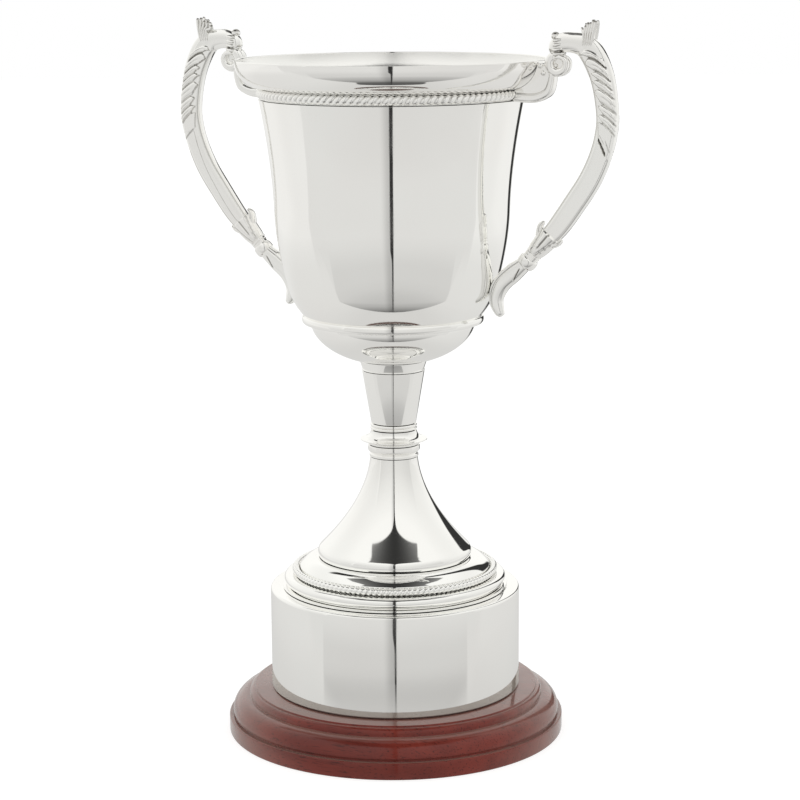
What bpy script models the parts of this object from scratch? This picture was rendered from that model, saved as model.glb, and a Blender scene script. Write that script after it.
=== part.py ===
"""Two-handled presentation cup, silver plated, on a metal drum and a turned wooden base.

Metres, +Z up. The origin is the middle of the base's underside, and the handles lie along X.
The pieces are stacked on one threaded tie rod, which runs from a nut under the base to a nut
inside the bowl. Each handle is held by two screws that go in from inside the bowl.
"""

import math

import bmesh
import bpy
from mathutils import Matrix, Vector

MM = 0.001

# Fits
GAP = 0.3 * MM
ROD_CLEARANCE = 0.4 * MM
SCREW_CLEARANCE = 0.3 * MM

# Facets round a turned piece, and points along an arc or a curve
LARGE_FACETS = 36
SMALL_FACETS = 24
ROD_FACETS = 12
ARC_STEPS = 4
CURVE_STEPS = 6
ROPE_STEPS = 6
ROPE_SIDES = 8
LIP_STEPS = 6
SHARP_ANGLE = math.radians(35)
MERGE_DISTANCE = 0.001 * MM

# Wooden base
BASE_RADIUS = 82.5 * MM
BASE_HEIGHT = 22.2 * MM
BASE_SHELF_RADIUS = 69.6 * MM
BASE_STEP = 0.8 * MM
BASE_EDGE_ROUND = 2.6 * MM
BASE_NECK_OUT = 0.6 * MM
BASE_NECK_DROP = 1.2 * MM
BASE_LIP_SETBACK = 1.9 * MM
BASE_QUIRK_HEIGHT = 1.7 * MM
BASE_QUIRK_DEPTH = 0.8 * MM
BASE_FOOT_BAND = 8.2 * MM
BASE_CORNER = 0.8 * MM
BAIZE_RADIUS = 73.5 * MM
BAIZE_THICKNESS = 1.2 * MM
BAIZE_SETBACK = 0.2 * MM
NUT_RECESS_RADIUS = 11.0 * MM
NUT_RECESS_DEPTH = 13.0 * MM

# Metal drum
DRUM_RADIUS = 61.1 * MM
DRUM_HEIGHT = 49.8 * MM
DRUM_WALL = 1.0 * MM
DRUM_SHOULDER = 1.6 * MM
DRUM_FOOT_CHAMFER = 0.9 * MM

# Foot tier and its rope bead
FOOT_HEIGHT = 14.4 * MM
FOOT_WALL = 1.2 * MM
FOOT_PLATE_RADIUS = 55.2 * MM
FOOT_PLATE_THICKNESS = 1.0 * MM
FOOT_ROUND_RADIUS = 54.3 * MM
FOOT_ROUND_SECTION = 2.5 * MM
FOOT_GROOVE = 0.3 * MM
FOOT_ROPE_SEAT = 46.6 * MM
FOOT_ROPE_SECTION = 1.7 * MM
FOOT_DOME_BULGE = 0.9 * MM
FOOT_HOLE_RADIUS = 30.0 * MM

# Foot bell
BELL_RADIUS = 37.7 * MM
BELL_HEIGHT = 49.2 * MM
BELL_TOP_RADIUS = 11.6 * MM
BELL_WALL = 1.2 * MM
BELL_LIP_ROUND = 4.0 * MM
BELL_LIP_UNDER = math.radians(30)
BELL_TOP_SLOPE = 0.1
BELL_CONE_ANGLE = math.radians(45)

# Stem, from the bell upwards
LOWER_RING_RADIUS = 11.9 * MM
LOWER_RING_HEIGHT = 1.9 * MM
LOWER_COLLAR_RADIUS = 12.7 * MM
LOWER_COLLAR_HEIGHT = 5.8 * MM
LOWER_COLLAR_EDGE = 0.6 * MM
KNOP_RADIUS = 16.3 * MM
KNOP_HEIGHT = 6.9 * MM
KNOP_EDGE_RISE = 2.4 * MM
KNOP_EDGE = 0.5 * MM
KNOP_UNDER_RADIUS = 12.3 * MM
KNOP_TOP_RADIUS = 11.2 * MM
BEAD_RING_RADIUS = 11.4 * MM
BEAD_RING_HEIGHT = 3.0 * MM
BEAD_RING_COUNT = 2
TUBE_HEIGHT = 25.8 * MM
TUBE_BOTTOM_RADIUS = 10.9 * MM
TUBE_TOP_RADIUS = 15.2 * MM
TUBE_WALL = 1.4 * MM
UPPER_COLLAR_RADIUS = 16.3 * MM
UPPER_COLLAR_HEIGHT = 3.9 * MM
UPPER_COLLAR_EDGE = 0.7 * MM

# Bowl and its rope bead
BOWL_HEIGHT = 144.8 * MM
BOWL_WALL = 1.2 * MM
RIM_RADIUS = 74.5 * MM
OVOLO_RADIUS = 13.5 * MM
CUP_ROPE_SECTION = 2.25 * MM
ROPE_SEAT_MARGIN = 0.2 * MM
BEAD_SEAT_HEIGHT = 2 * (CUP_ROPE_SECTION + ROPE_SEAT_MARGIN)
BEAD_SEAT_LEAN = 1.3 * MM
WALL_LEDGE = 0.8 * MM
WALL_LEDGE_DROP = 0.4 * MM
WALL_TOP_SLOPE = 0.2
WAIST_RADIUS = 56.4 * MM
WAIST_RISE = 73.3 * MM
WAIST_SLOPE = 0.03
TURN_RADIUS = 50.0 * MM
TURN_RISE = 35.3 * MM
TURN_SLOPE = 0.27
RIDGE_RADIUS = 43.9 * MM
RIDGE_RISE = 22.9 * MM
RIDGE_HEIGHT = 3.6 * MM
RIDGE_EDGE = 0.4 * MM
WALL_FOOT_SLOPE = 0.85
DISH_RADIUS = 39.5 * MM
DISH_DROP = 0.8 * MM
DISH_FLAT_RADIUS = 9.0 * MM
DISH_POWER = 1.5

# Handles: the section's corners, the volute and the web
ARM_SECTION_CHAMFER = 0.28
SWEEP_STEPS = 3
VOLUTE_RADIUS = 6.2 * MM
VOLUTE_THICKNESS = 7.2 * MM
VOLUTE_REACH = 9.6 * MM
VOLUTE_DROP = 0.9 * MM
VOLUTE_FACETS = 20
WEB_THICKNESS = 5.4 * MM
TAIL_SEAT_RISE = 16.0 * MM

# Handle routes in millimetres: (out, up, width, thickness). Out and up are from the rim, or from
# the tail's seat on the wall. On the arm's side, up is the share of the drop from rim to tail seat.
ARM_TOP = [(8.4, 2.2, 5.6, 6.2), (8.8, 6.4, 7.4, 6.2), (12.0, 8.2, 9.0, 6.4),
           (16.8, 8.3, 9.3, 6.4), (22.4, 6.8, 10.6, 6.4), (26.9, 1.6, 11.4, 6.4)]
ARM_SIDE = [(30.9, 0.075, 11.0, 6.4), (33.0, 0.185, 10.4, 6.2), (33.3, 0.28, 10.2, 6.2),
            (30.8, 0.39, 10.3, 6.0), (25.6, 0.505, 10.6, 6.0), (18.2, 0.613, 10.6, 6.0),
            (9.6, 0.726, 10.0, 6.0)]
ARM_TAIL = [(25.1, 20.5, 7.6, 6.4), (18.2, 12.8, 6.8, 6.6), (11.2, 7.0, 8.8, 7.0),
            (5.1, 1.1, 8.4, 6.6), (2.6, -5.5, 7.0, 5.4), (3.9, -11.2, 5.2, 4.4), (6.2, -13.6, 3.4, 3.6)]
STRAP = [(7.0, -4.0, 3.4, 6.6), (6.8, -8.3, 3.6, 6.8), (5.3, -13.4, 4.4, 6.8), (2.6, -15.6, 4.6, 6.8),
         (-1.6, -16.9, 5.0, 6.8), (-6.5, -17.0, 5.0, 6.8), (-14.0, -16.5, 4.8, 6.8)]
TUFT = [(24.4, 6.0, 6.0, 5.6), (24.6, 11.0, 5.4, 5.4), (24.8, 15.0, 7.6, 6.0), (24.4, 19.0, 10.4, 5.0)]
CALYX = [(30.4, 26.4, 12.6, 9.6), (27.9, 23.5, 10.4, 9.2), (24.5, 19.8, 9.6, 8.8),
         (21.4, 16.4, 7.6, 7.2)]
KNUCKLE = [(20.3, 14.9, 7.8, 7.4), (18.3, 12.6, 9.2, 8.6), (16.1, 10.6, 8.0, 7.4)]
WEB_OUTLINE = [(-12.0, -15.0), (-2.0, -1.5), (5.0, -3.0), (6.6, -8.5), (3.4, -14.8), (-6.0, -17.0)]

# Tie rod, nuts and washers
ROD_RADIUS = 3.0 * MM
ROD_END = 2.0 * MM
NUT_ACROSS_FLATS = 10.0 * MM
NUT_HEIGHT = 5.0 * MM
WASHER_RADIUS = 8.0 * MM
WASHER_THICKNESS = 1.2 * MM

# Handle screws
SCREW_RADIUS = 1.25 * MM
SCREW_GRIP = 7.5 * MM
SCREW_HEAD_RADIUS = 2.4 * MM
SCREW_HEAD_HEIGHT = 1.7 * MM
SCREW_HEAD_SEAT = 0.5 * MM
SCREW_FACETS = 10
UPPER_SCREW_ANGLE = math.radians(-45)

# Heights of the stack, each piece a gap above the one that carries it
DRUM_Z = BASE_HEIGHT + GAP
FOOT_Z = DRUM_Z + DRUM_HEIGHT + GAP
BELL_Z = FOOT_Z + FOOT_HEIGHT + GAP
LOWER_COLLAR_Z = BELL_Z + BELL_HEIGHT + GAP
KNOP_Z = LOWER_COLLAR_Z + LOWER_COLLAR_HEIGHT + GAP
BEAD_RING_Z = KNOP_Z + KNOP_HEIGHT + GAP
TUBE_Z = BEAD_RING_Z + BEAD_RING_HEIGHT + GAP
UPPER_COLLAR_Z = TUBE_Z + TUBE_HEIGHT + GAP
BOWL_Z = UPPER_COLLAR_Z + UPPER_COLLAR_HEIGHT + GAP
RIM_Z = BOWL_Z + BOWL_HEIGHT
BORE_RADIUS = ROD_RADIUS + ROD_CLEARANCE

# Colours: base colour, roughness, metallic
SILVER = ((0.86, 0.86, 0.84), 0.06, 1.0)
STEEL = ((0.62, 0.62, 0.63), 0.28, 1.0)
MAHOGANY = ((0.19, 0.035, 0.022), 0.22, 0.0)
PALE_WOOD = ((0.55, 0.40, 0.24), 0.6, 0.0)
BAIZE = ((0.02, 0.12, 0.05), 0.95, 0.0)


def clear_scene():
    """Removes what is in the scene."""
    for old in list(bpy.data.objects):
        bpy.data.objects.remove(old)


def finish_material(name, finish):
    """Makes a piece's own material from its colour, roughness and metallic value."""
    colour, roughness, metallic = finish
    material = bpy.data.materials.new(name)
    material.use_nodes = True
    shader = material.node_tree.nodes["Principled BSDF"]
    shader.inputs["Base Color"].default_value = (*colour, 1.0)
    shader.inputs["Roughness"].default_value = roughness
    shader.inputs["Metallic"].default_value = metallic
    return material


def place(name, mesh, finish, parent=None):
    """Links a mesh as a named piece with its own material."""
    mesh.shade_smooth()
    mesh.set_sharp_from_angle(angle=SHARP_ANGLE)
    piece = bpy.data.objects.new(name, mesh)
    bpy.context.scene.collection.objects.link(piece)
    piece.parent = parent
    piece.data.materials.clear()
    piece.data.materials.append(finish_material(name, finish))
    return piece


def to_mesh(name, shape):
    """Turns a bmesh into a mesh with its faces pointing out."""
    bmesh.ops.recalc_face_normals(shape, faces=shape.faces[:])
    mesh = bpy.data.meshes.new(name)
    shape.to_mesh(mesh)
    shape.free()
    return mesh


def arc(centre, size, start, end, steps=ARC_STEPS):
    """Points of a round or elliptical arc in the turning plane, with both ends."""
    points = []
    for step in range(steps + 1):
        angle = start + (end - start) * step / steps
        points.append((centre[0] + size[0] * math.cos(angle), centre[1] + size[1] * math.sin(angle)))
    return points


def falling_curve(top, top_slope, bottom, bottom_slope, steps=CURVE_STEPS):
    """Smooth profile from top to bottom; a slope is the radius gained per unit of height."""
    third = (top[1] - bottom[1]) / 3
    first = (top[0] - top_slope * third, top[1] - third)
    second = (bottom[0] + bottom_slope * third, bottom[1] + third)
    points = []
    for step in range(steps + 1):
        t = step / steps
        weights = ((1 - t) ** 3, 3 * t * (1 - t) ** 2, 3 * t * t * (1 - t), t ** 3)
        points.append(tuple(sum(w * p[axis] for w, p in zip(weights, (top, first, second, bottom)))
                            for axis in (0, 1)))
    return points


def inset(points, distance):
    """Moves a falling profile towards its hollow side by a wall's thickness."""
    moved = []
    for index, point in enumerate(points):
        before = Vector(points[max(index - 1, 0)])
        after = Vector(points[min(index + 1, len(points) - 1)])
        along = (after - before).normalized()
        moved.append((point[0] + along.y * distance, point[1] - along.x * distance))
    return moved


def turned_mesh(name, profile, facets):
    """Turns a closed profile of (radius, height) points round the Z axis."""
    shape = bmesh.new()
    corners = [shape.verts.new((radius, 0.0, height)) for radius, height in profile]
    edges = [shape.edges.new((corners[i - 1], corners[i])) for i in range(len(corners))]
    bmesh.ops.spin(shape, geom=corners + edges, cent=(0, 0, 0), axis=(0, 0, 1),
                   angle=math.tau, steps=facets, use_merge=True)
    bmesh.ops.remove_doubles(shape, verts=shape.verts[:], dist=MERGE_DISTANCE)
    on_axis = [edge for edge in shape.edges if not edge.link_faces]
    bmesh.ops.delete(shape, geom=on_axis, context="EDGES")
    return to_mesh(name, shape)


def turned(name, profile, finish, parent, facets=LARGE_FACETS):
    """Makes a turned piece from a closed profile."""
    return place(name, turned_mesh(name, profile, facets), finish, parent)


def guide(name, mesh, collection=None):
    """Links a mesh that only cuts or joins another piece."""
    helper = bpy.data.objects.new(name, mesh)
    (collection or bpy.context.scene.collection).objects.link(helper)
    helper.hide_render = True
    helper.display_type = "WIRE"
    return helper


def combine(piece, helper, operation):
    """Cuts a guide, or joins a collection of guides, with a Boolean modifier."""
    modifier = piece.modifiers.new(operation.title(), "BOOLEAN")
    modifier.operation = operation
    modifier.solver = "EXACT"
    if isinstance(helper, bpy.types.Collection):
        modifier.operand_type = "COLLECTION"
        modifier.collection = helper
    else:
        modifier.object = helper


def settled_mesh(piece):
    """Returns a piece's mesh with its modifiers worked out."""
    graph = bpy.context.evaluated_depsgraph_get()
    return bpy.data.meshes.new_from_object(piece.evaluated_get(graph))


def wooden_base(parent):
    """Turned base with the nut's recess and the baize's recess underneath."""
    edge_z = BASE_HEIGHT - BASE_STEP
    lip_radius = BASE_RADIUS - BASE_LIP_SETBACK
    lip_z = BASE_FOOT_BAND + BASE_QUIRK_HEIGHT
    edge_end = (BASE_SHELF_RADIUS + BASE_EDGE_ROUND, edge_z - BASE_EDGE_ROUND)
    ovolo_top = (edge_end[0] + BASE_NECK_OUT, edge_end[1] - BASE_NECK_DROP)
    recess_radius = BAIZE_RADIUS + GAP
    recess_z = BAIZE_SETBACK + BAIZE_THICKNESS + GAP
    profile = [(BORE_RADIUS, BASE_HEIGHT), (BASE_SHELF_RADIUS, BASE_HEIGHT)]
    profile += arc((BASE_SHELF_RADIUS, edge_end[1]), (BASE_EDGE_ROUND, BASE_EDGE_ROUND),
                   math.pi / 2, 0)
    profile += arc((ovolo_top[0], lip_z), (lip_radius - ovolo_top[0], ovolo_top[1] - lip_z),
                   math.pi / 2, 0, ARC_STEPS + 2)
    profile += [(lip_radius - BASE_QUIRK_DEPTH, lip_z - BASE_QUIRK_DEPTH / 2),
                (lip_radius - BASE_QUIRK_DEPTH, BASE_FOOT_BAND),
                (BASE_RADIUS - BASE_CORNER, BASE_FOOT_BAND),
                (BASE_RADIUS, BASE_FOOT_BAND - BASE_CORNER),
                (BASE_RADIUS, BASE_CORNER), (BASE_RADIUS - BASE_CORNER, 0.0),
                (recess_radius, 0.0), (recess_radius, recess_z), (NUT_RECESS_RADIUS, recess_z),
                (NUT_RECESS_RADIUS, NUT_RECESS_DEPTH), (BORE_RADIUS, NUT_RECESS_DEPTH)]
    turned("wood_base", profile, MAHOGANY, parent)
    turned("baize_pad", [(0.0, BAIZE_SETBACK + BAIZE_THICKNESS),
                         (BAIZE_RADIUS, BAIZE_SETBACK + BAIZE_THICKNESS),
                         (BAIZE_RADIUS, BAIZE_SETBACK), (0.0, BAIZE_SETBACK)], BAIZE, parent)


def metal_drum(parent):
    """Closed-topped drum, and the wooden core that fills it."""
    top = DRUM_Z + DRUM_HEIGHT
    inside = DRUM_RADIUS - DRUM_WALL
    profile = [(BORE_RADIUS, top)]
    profile += arc((DRUM_RADIUS - DRUM_SHOULDER, top - DRUM_SHOULDER),
                   (DRUM_SHOULDER, DRUM_SHOULDER), math.pi / 2, 0)
    profile += [(DRUM_RADIUS, DRUM_Z + DRUM_FOOT_CHAMFER),
                (DRUM_RADIUS - DRUM_FOOT_CHAMFER, DRUM_Z), (inside - GAP, DRUM_Z),
                (inside, DRUM_Z + DRUM_FOOT_CHAMFER), (inside, top - DRUM_SHOULDER),
                (inside - DRUM_SHOULDER, top - DRUM_WALL), (BORE_RADIUS, top - DRUM_WALL)]
    turned("plinth_drum", profile, SILVER, parent)
    core_radius = inside - GAP
    core_top = top - DRUM_WALL - GAP
    foot = core_radius - DRUM_FOOT_CHAMFER
    turned("plinth_core", [(BORE_RADIUS, core_top), (core_radius - DRUM_SHOULDER, core_top),
                           (core_radius, core_top - DRUM_SHOULDER),
                           (core_radius, DRUM_Z + DRUM_FOOT_CHAMFER), (foot, DRUM_Z),
                           (BORE_RADIUS, DRUM_Z)], PALE_WOOD, parent)


def foot_tier(parent):
    """Lower step of the foot: plate, half round, rope seat and shallow dome."""
    top = FOOT_Z + FOOT_HEIGHT
    plate_z = FOOT_Z + FOOT_PLATE_THICKNESS
    round_z = plate_z + FOOT_GROOVE + FOOT_ROUND_SECTION
    round_r = FOOT_ROUND_RADIUS - FOOT_ROUND_SECTION
    ledge_z = round_z + FOOT_ROUND_SECTION
    rope_r = FOOT_ROPE_SEAT + GAP + FOOT_ROPE_SECTION
    rope_z = ledge_z + GAP + FOOT_ROPE_SECTION
    dome_edge = (FOOT_ROPE_SEAT, rope_z + FOOT_ROPE_SECTION)
    dome_top = (BELL_RADIUS, top)
    dome = []
    for step in range(ARC_STEPS + 1):
        t = step / ARC_STEPS
        rise = FOOT_DOME_BULGE * 4 * t * (1 - t)
        dome.append((dome_top[0] + (dome_edge[0] - dome_top[0]) * t,
                     dome_top[1] + (dome_edge[1] - dome_top[1]) * t + rise))
    outer = [(FOOT_HOLE_RADIUS, top)] + dome + [(FOOT_ROPE_SEAT, ledge_z)]
    outer += arc((round_r, round_z), (FOOT_ROUND_SECTION, FOOT_ROUND_SECTION),
                 math.pi / 2, -math.pi / 2, ARC_STEPS + 2)
    outer += [(round_r, plate_z), (FOOT_PLATE_RADIUS, plate_z), (FOOT_PLATE_RADIUS, FOOT_Z)]
    inner = [(round_r - FOOT_WALL, FOOT_Z), (round_r - FOOT_WALL, ledge_z - FOOT_WALL),
             (FOOT_ROPE_SEAT - FOOT_WALL, ledge_z - FOOT_WALL),
             (FOOT_ROPE_SEAT - FOOT_WALL, dome_edge[1] - FOOT_WALL),
             (dome_top[0], top - FOOT_WALL), (FOOT_HOLE_RADIUS, top - FOOT_WALL)]
    turned("foot_tier", outer + inner, SILVER, parent)
    section = arc((rope_r, rope_z), (FOOT_ROPE_SECTION, FOOT_ROPE_SECTION), 0, -math.tau, ROPE_SIDES)
    turned("foot_rope_bead", section[:-1], SILVER, parent)


def foot_bell(parent):
    """Trumpet foot with a rolled lip, spun from sheet."""
    top = (BELL_TOP_RADIUS, BELL_Z + BELL_HEIGHT)
    lip = (BELL_RADIUS - BELL_LIP_ROUND, BELL_Z + BELL_LIP_ROUND * math.sin(BELL_LIP_UNDER))
    roll = arc(lip, (BELL_LIP_ROUND, BELL_LIP_ROUND), BELL_CONE_ANGLE, -BELL_LIP_UNDER)
    flare = falling_curve(top, -BELL_TOP_SLOPE, roll[0], -math.tan(BELL_CONE_ANGLE), CURVE_STEPS + 2)
    hollow = inset(flare, BELL_WALL)[1:-1]
    floor = (roll[-1][0] - BELL_WALL, BELL_Z)
    ceiling = top[1] - BELL_WALL
    profile = [(BORE_RADIUS, top[1])] + flare + roll[1:] + [floor] + hollow[::-1]
    profile += [(hollow[0][0], ceiling), (BORE_RADIUS, ceiling)]
    turned("foot_bell", profile, SILVER, parent, SMALL_FACETS)


def stem(parent):
    """Rings, knop, tapered tube and collar between the bell and the bowl."""
    ring_top = LOWER_COLLAR_Z + LOWER_RING_HEIGHT
    collar_top = LOWER_COLLAR_Z + LOWER_COLLAR_HEIGHT
    edge = LOWER_COLLAR_EDGE
    turned("stem_lower_collar", [
        (BORE_RADIUS, collar_top), (LOWER_COLLAR_RADIUS - edge, collar_top),
        (LOWER_COLLAR_RADIUS, collar_top - edge), (LOWER_COLLAR_RADIUS, ring_top + 2 * edge),
        (LOWER_RING_RADIUS - edge, ring_top), (LOWER_RING_RADIUS, ring_top - edge),
        (LOWER_RING_RADIUS, LOWER_COLLAR_Z), (BORE_RADIUS, LOWER_COLLAR_Z)],
        SILVER, parent, SMALL_FACETS)

    knop_top = (KNOP_TOP_RADIUS, KNOP_Z + KNOP_HEIGHT)
    edge_top = (KNOP_RADIUS, KNOP_Z + KNOP_EDGE_RISE + KNOP_EDGE / 2)
    rise = knop_top[1] - edge_top[1]
    hollow = arc((KNOP_RADIUS, knop_top[1]), (KNOP_RADIUS - KNOP_TOP_RADIUS, rise),
                 math.pi, 1.5 * math.pi)
    under = arc((KNOP_RADIUS, KNOP_Z), (KNOP_RADIUS - KNOP_UNDER_RADIUS, KNOP_EDGE_RISE - KNOP_EDGE / 2),
                math.pi / 2, math.pi)
    turned("stem_knop", [(BORE_RADIUS, knop_top[1])] + hollow + under + [(BORE_RADIUS, KNOP_Z)],
           SILVER, parent, SMALL_FACETS)

    beads = [(BORE_RADIUS, BEAD_RING_Z + BEAD_RING_HEIGHT)]
    half = BEAD_RING_HEIGHT / BEAD_RING_COUNT / 2
    for index in range(BEAD_RING_COUNT):
        middle = BEAD_RING_Z + BEAD_RING_HEIGHT - half * (2 * index + 1)
        beads += arc((BEAD_RING_RADIUS - half, middle), (half, half), math.pi / 2, -math.pi / 2)
        if index < BEAD_RING_COUNT - 1:
            beads.pop()
    beads.append((BORE_RADIUS, BEAD_RING_Z))
    turned("stem_bead_ring", beads, SILVER, parent, SMALL_FACETS)

    tube_top = TUBE_Z + TUBE_HEIGHT
    turned("stem_tube", [
        (TUBE_TOP_RADIUS - TUBE_WALL, tube_top), (TUBE_TOP_RADIUS, tube_top),
        (TUBE_BOTTOM_RADIUS, TUBE_Z), (TUBE_BOTTOM_RADIUS - TUBE_WALL, TUBE_Z)],
        SILVER, parent, SMALL_FACETS)

    top = UPPER_COLLAR_Z + UPPER_COLLAR_HEIGHT
    edge = UPPER_COLLAR_EDGE
    turned("stem_upper_collar", [
        (BORE_RADIUS, top), (UPPER_COLLAR_RADIUS - edge, top), (UPPER_COLLAR_RADIUS, top - edge),
        (UPPER_COLLAR_RADIUS, UPPER_COLLAR_Z + edge), (UPPER_COLLAR_RADIUS - edge, UPPER_COLLAR_Z),
        (BORE_RADIUS, UPPER_COLLAR_Z)], SILVER, parent, SMALL_FACETS)


class Bowl:
    """Profiles of the bowl, from which the bowl, its bead and the handles' seats are made."""

    def __init__(self):
        ovolo_r = RIM_RADIUS - OVOLO_RADIUS
        self.ovolo_centre = (ovolo_r, RIM_Z)
        self.ovolo = arc(self.ovolo_centre, (OVOLO_RADIUS, OVOLO_RADIUS), 0, -math.pi / 2, LIP_STEPS)
        seat_top = (ovolo_r, RIM_Z - OVOLO_RADIUS)
        seat_foot = (ovolo_r + BEAD_SEAT_LEAN, seat_top[1] - BEAD_SEAT_HEIGHT)
        self.seat = [seat_top, seat_foot]
        wall_top = (seat_foot[0] + WALL_LEDGE, seat_foot[1] - WALL_LEDGE_DROP)
        waist = (WAIST_RADIUS, BOWL_Z + WAIST_RISE)
        ridge_z = BOWL_Z + RIDGE_RISE
        foot = (RIDGE_RADIUS - RIDGE_EDGE, ridge_z)
        self.flare = falling_curve(wall_top, WALL_TOP_SLOPE, waist, WAIST_SLOPE)
        turn = (TURN_RADIUS, BOWL_Z + TURN_RISE)
        self.belly = falling_curve(waist, WAIST_SLOPE, turn, TURN_SLOPE, ARC_STEPS)
        self.belly += falling_curve(turn, TURN_SLOPE, foot, WALL_FOOT_SLOPE, ARC_STEPS)[1:]
        ridge_foot = ridge_z - RIDGE_HEIGHT
        self.ridge = [(RIDGE_RADIUS, ridge_z - RIDGE_EDGE), (RIDGE_RADIUS, ridge_foot + RIDGE_EDGE),
                      (RIDGE_RADIUS - RIDGE_EDGE, ridge_foot)]
        dish_z = ridge_foot - DISH_DROP
        self.dish = []
        for step in range(LIP_STEPS + 1):
            turn_angle = math.pi / 2 * step / LIP_STEPS
            out = max(math.cos(turn_angle), 0.0) ** (2 / DISH_POWER)
            down = math.sin(turn_angle) ** (2 / DISH_POWER)
            self.dish.append((DISH_FLAT_RADIUS + (DISH_RADIUS - DISH_FLAT_RADIUS) * out,
                              dish_z - (dish_z - BOWL_Z) * down))
        self.tail_z = ridge_z + TAIL_SEAT_RISE

    def outside(self):
        """The outer profile from the rim to the flat under the bowl."""
        return self.ovolo + self.seat[1:] + self.flare + self.belly[1:] + self.ridge + self.dish

    def inside(self):
        """The inner profile from the rim to the floor, a wall's thickness in."""
        lip_radius = OVOLO_RADIUS - BOWL_WALL
        lip = arc(self.ovolo_centre, (lip_radius, lip_radius), 0, -math.pi / 2, LIP_STEPS)[:-1]
        parts = inset(self.seat, BOWL_WALL) + inset(self.flare, BOWL_WALL)[1:]
        parts += inset(self.belly, BOWL_WALL)[1:] + inset(self.dish, BOWL_WALL)[:-1]
        floor = (DISH_FLAT_RADIUS, BOWL_Z + BOWL_WALL)
        return lip + parts + [floor]

    def rope(self, grow=0.0):
        """Half-round outline of the bead, flat on its seat; grow widens it for a cutter."""
        middle = Vector(self.seat[0]).lerp(Vector(self.seat[1]), 0.5)
        along = (Vector(self.seat[1]) - Vector(self.seat[0])).normalized()
        out = Vector((-along.y, along.x))
        tilt = math.atan2(out.y, out.x)
        size = CUP_ROPE_SECTION + grow
        return arc(middle + out * GAP, (size, size), tilt + math.pi / 2, tilt - math.pi / 2, ROPE_STEPS)

    def wall_at(self, height):
        """Radius of the outer wall at a height, and its slope there."""
        wall = self.flare + self.belly[1:]
        for upper, lower in zip(wall, wall[1:]):
            if upper[1] >= height >= lower[1]:
                share = (upper[1] - height) / (upper[1] - lower[1])
                slope = (upper[0] - lower[0]) / (upper[1] - lower[1])
                return upper[0] + (lower[0] - upper[0]) * share, slope
        raise ValueError("height is off the wall")

    def envelope(self):
        """Solid profile a gap outside the bowl and its bead, which the handles are cut to."""
        outside = inset(self.ovolo, -GAP)[:-1] + self.rope(GAP)
        outside += inset(self.flare, -GAP) + inset(self.belly, -GAP)[1:]
        lift = (0.0, RIM_Z + OVOLO_RADIUS)
        collar = (RIM_RADIUS + GAP, RIM_Z + OVOLO_RADIUS)
        return [lift, collar] + outside + [(RIDGE_RADIUS, BOWL_Z), (0.0, BOWL_Z)]

    def screw_seats(self):
        """Place on the outer wall and outward direction of a handle's upper and lower screw."""
        angle = UPPER_SCREW_ANGLE
        upper = (self.ovolo_centre[0] + OVOLO_RADIUS * math.cos(angle),
                 self.ovolo_centre[1] + OVOLO_RADIUS * math.sin(angle))
        radius, slope = self.wall_at(self.tail_z)
        lean = math.atan(slope)
        return {"upper": (upper, angle), "lower": ((radius, self.tail_z), -lean)}


def rod_mesh(name, radius, start, end, facets):
    """Plain round bar between two points."""
    along = Vector(end) - Vector(start)
    shape = bmesh.new()
    bmesh.ops.create_cone(shape, cap_ends=True, segments=facets, radius1=radius, radius2=radius,
                          depth=along.length)
    turn = along.to_track_quat("Z", "Y").to_matrix().to_4x4()
    bmesh.ops.transform(shape, matrix=Matrix.Translation(Vector(start) + along / 2) @ turn,
                        verts=shape.verts[:])
    return to_mesh(name, shape)


def screw_line(seat, direction, side, start, end):
    """Two points along a screw's axis, measured outwards from the bowl's outer wall."""
    step = (math.cos(direction), math.sin(direction))
    return [(side * (seat[0] + step[0] * t), 0.0, seat[1] + step[1] * t) for t in (start, end)]


def bowl_and_bead(bowl, parent):
    """Spun bowl, drilled for the handle screws, with the rope bead under its lip."""
    outside = bowl.outside()
    inside = bowl.inside()
    profile = outside + [(BORE_RADIUS, BOWL_Z), (BORE_RADIUS, BOWL_Z + BOWL_WALL)] + inside[::-1]
    piece = turned("cup_bowl", profile, SILVER, parent)
    holes = bpy.data.collections.new("bowl_holes")
    bpy.context.scene.collection.children.link(holes)
    for seat, direction in bowl.screw_seats().values():
        for side in (1, -1):
            ends = screw_line(seat, direction, side, -3 * BOWL_WALL, 2 * BOWL_WALL)
            drill = rod_mesh("bowl_drill", SCREW_RADIUS + SCREW_CLEARANCE, *ends, SCREW_FACETS)
            guide("bowl_drill", drill, holes)
    combine(piece, holes, "DIFFERENCE")
    turned("cup_rope_bead", bowl.rope(), SILVER, parent)


def smooth_route(points, steps=SWEEP_STEPS):
    """Curve through the given rows of numbers, with extra rows between them."""
    rows = [Vector(p) for p in points]
    route = []
    for i in range(len(rows) - 1):
        before = rows[max(i - 1, 0)]
        after = rows[min(i + 2, len(rows) - 1)]
        for step in range(steps):
            t = step / steps
            a = 2 * rows[i]
            b = rows[i + 1] - before
            c = 2 * before - 5 * rows[i] + 4 * rows[i + 1] - after
            d = 3 * rows[i] - before - 3 * rows[i + 1] + after
            route.append((a + b * t + c * t * t + d * t ** 3) / 2)
    return route + [rows[-1]]


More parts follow.
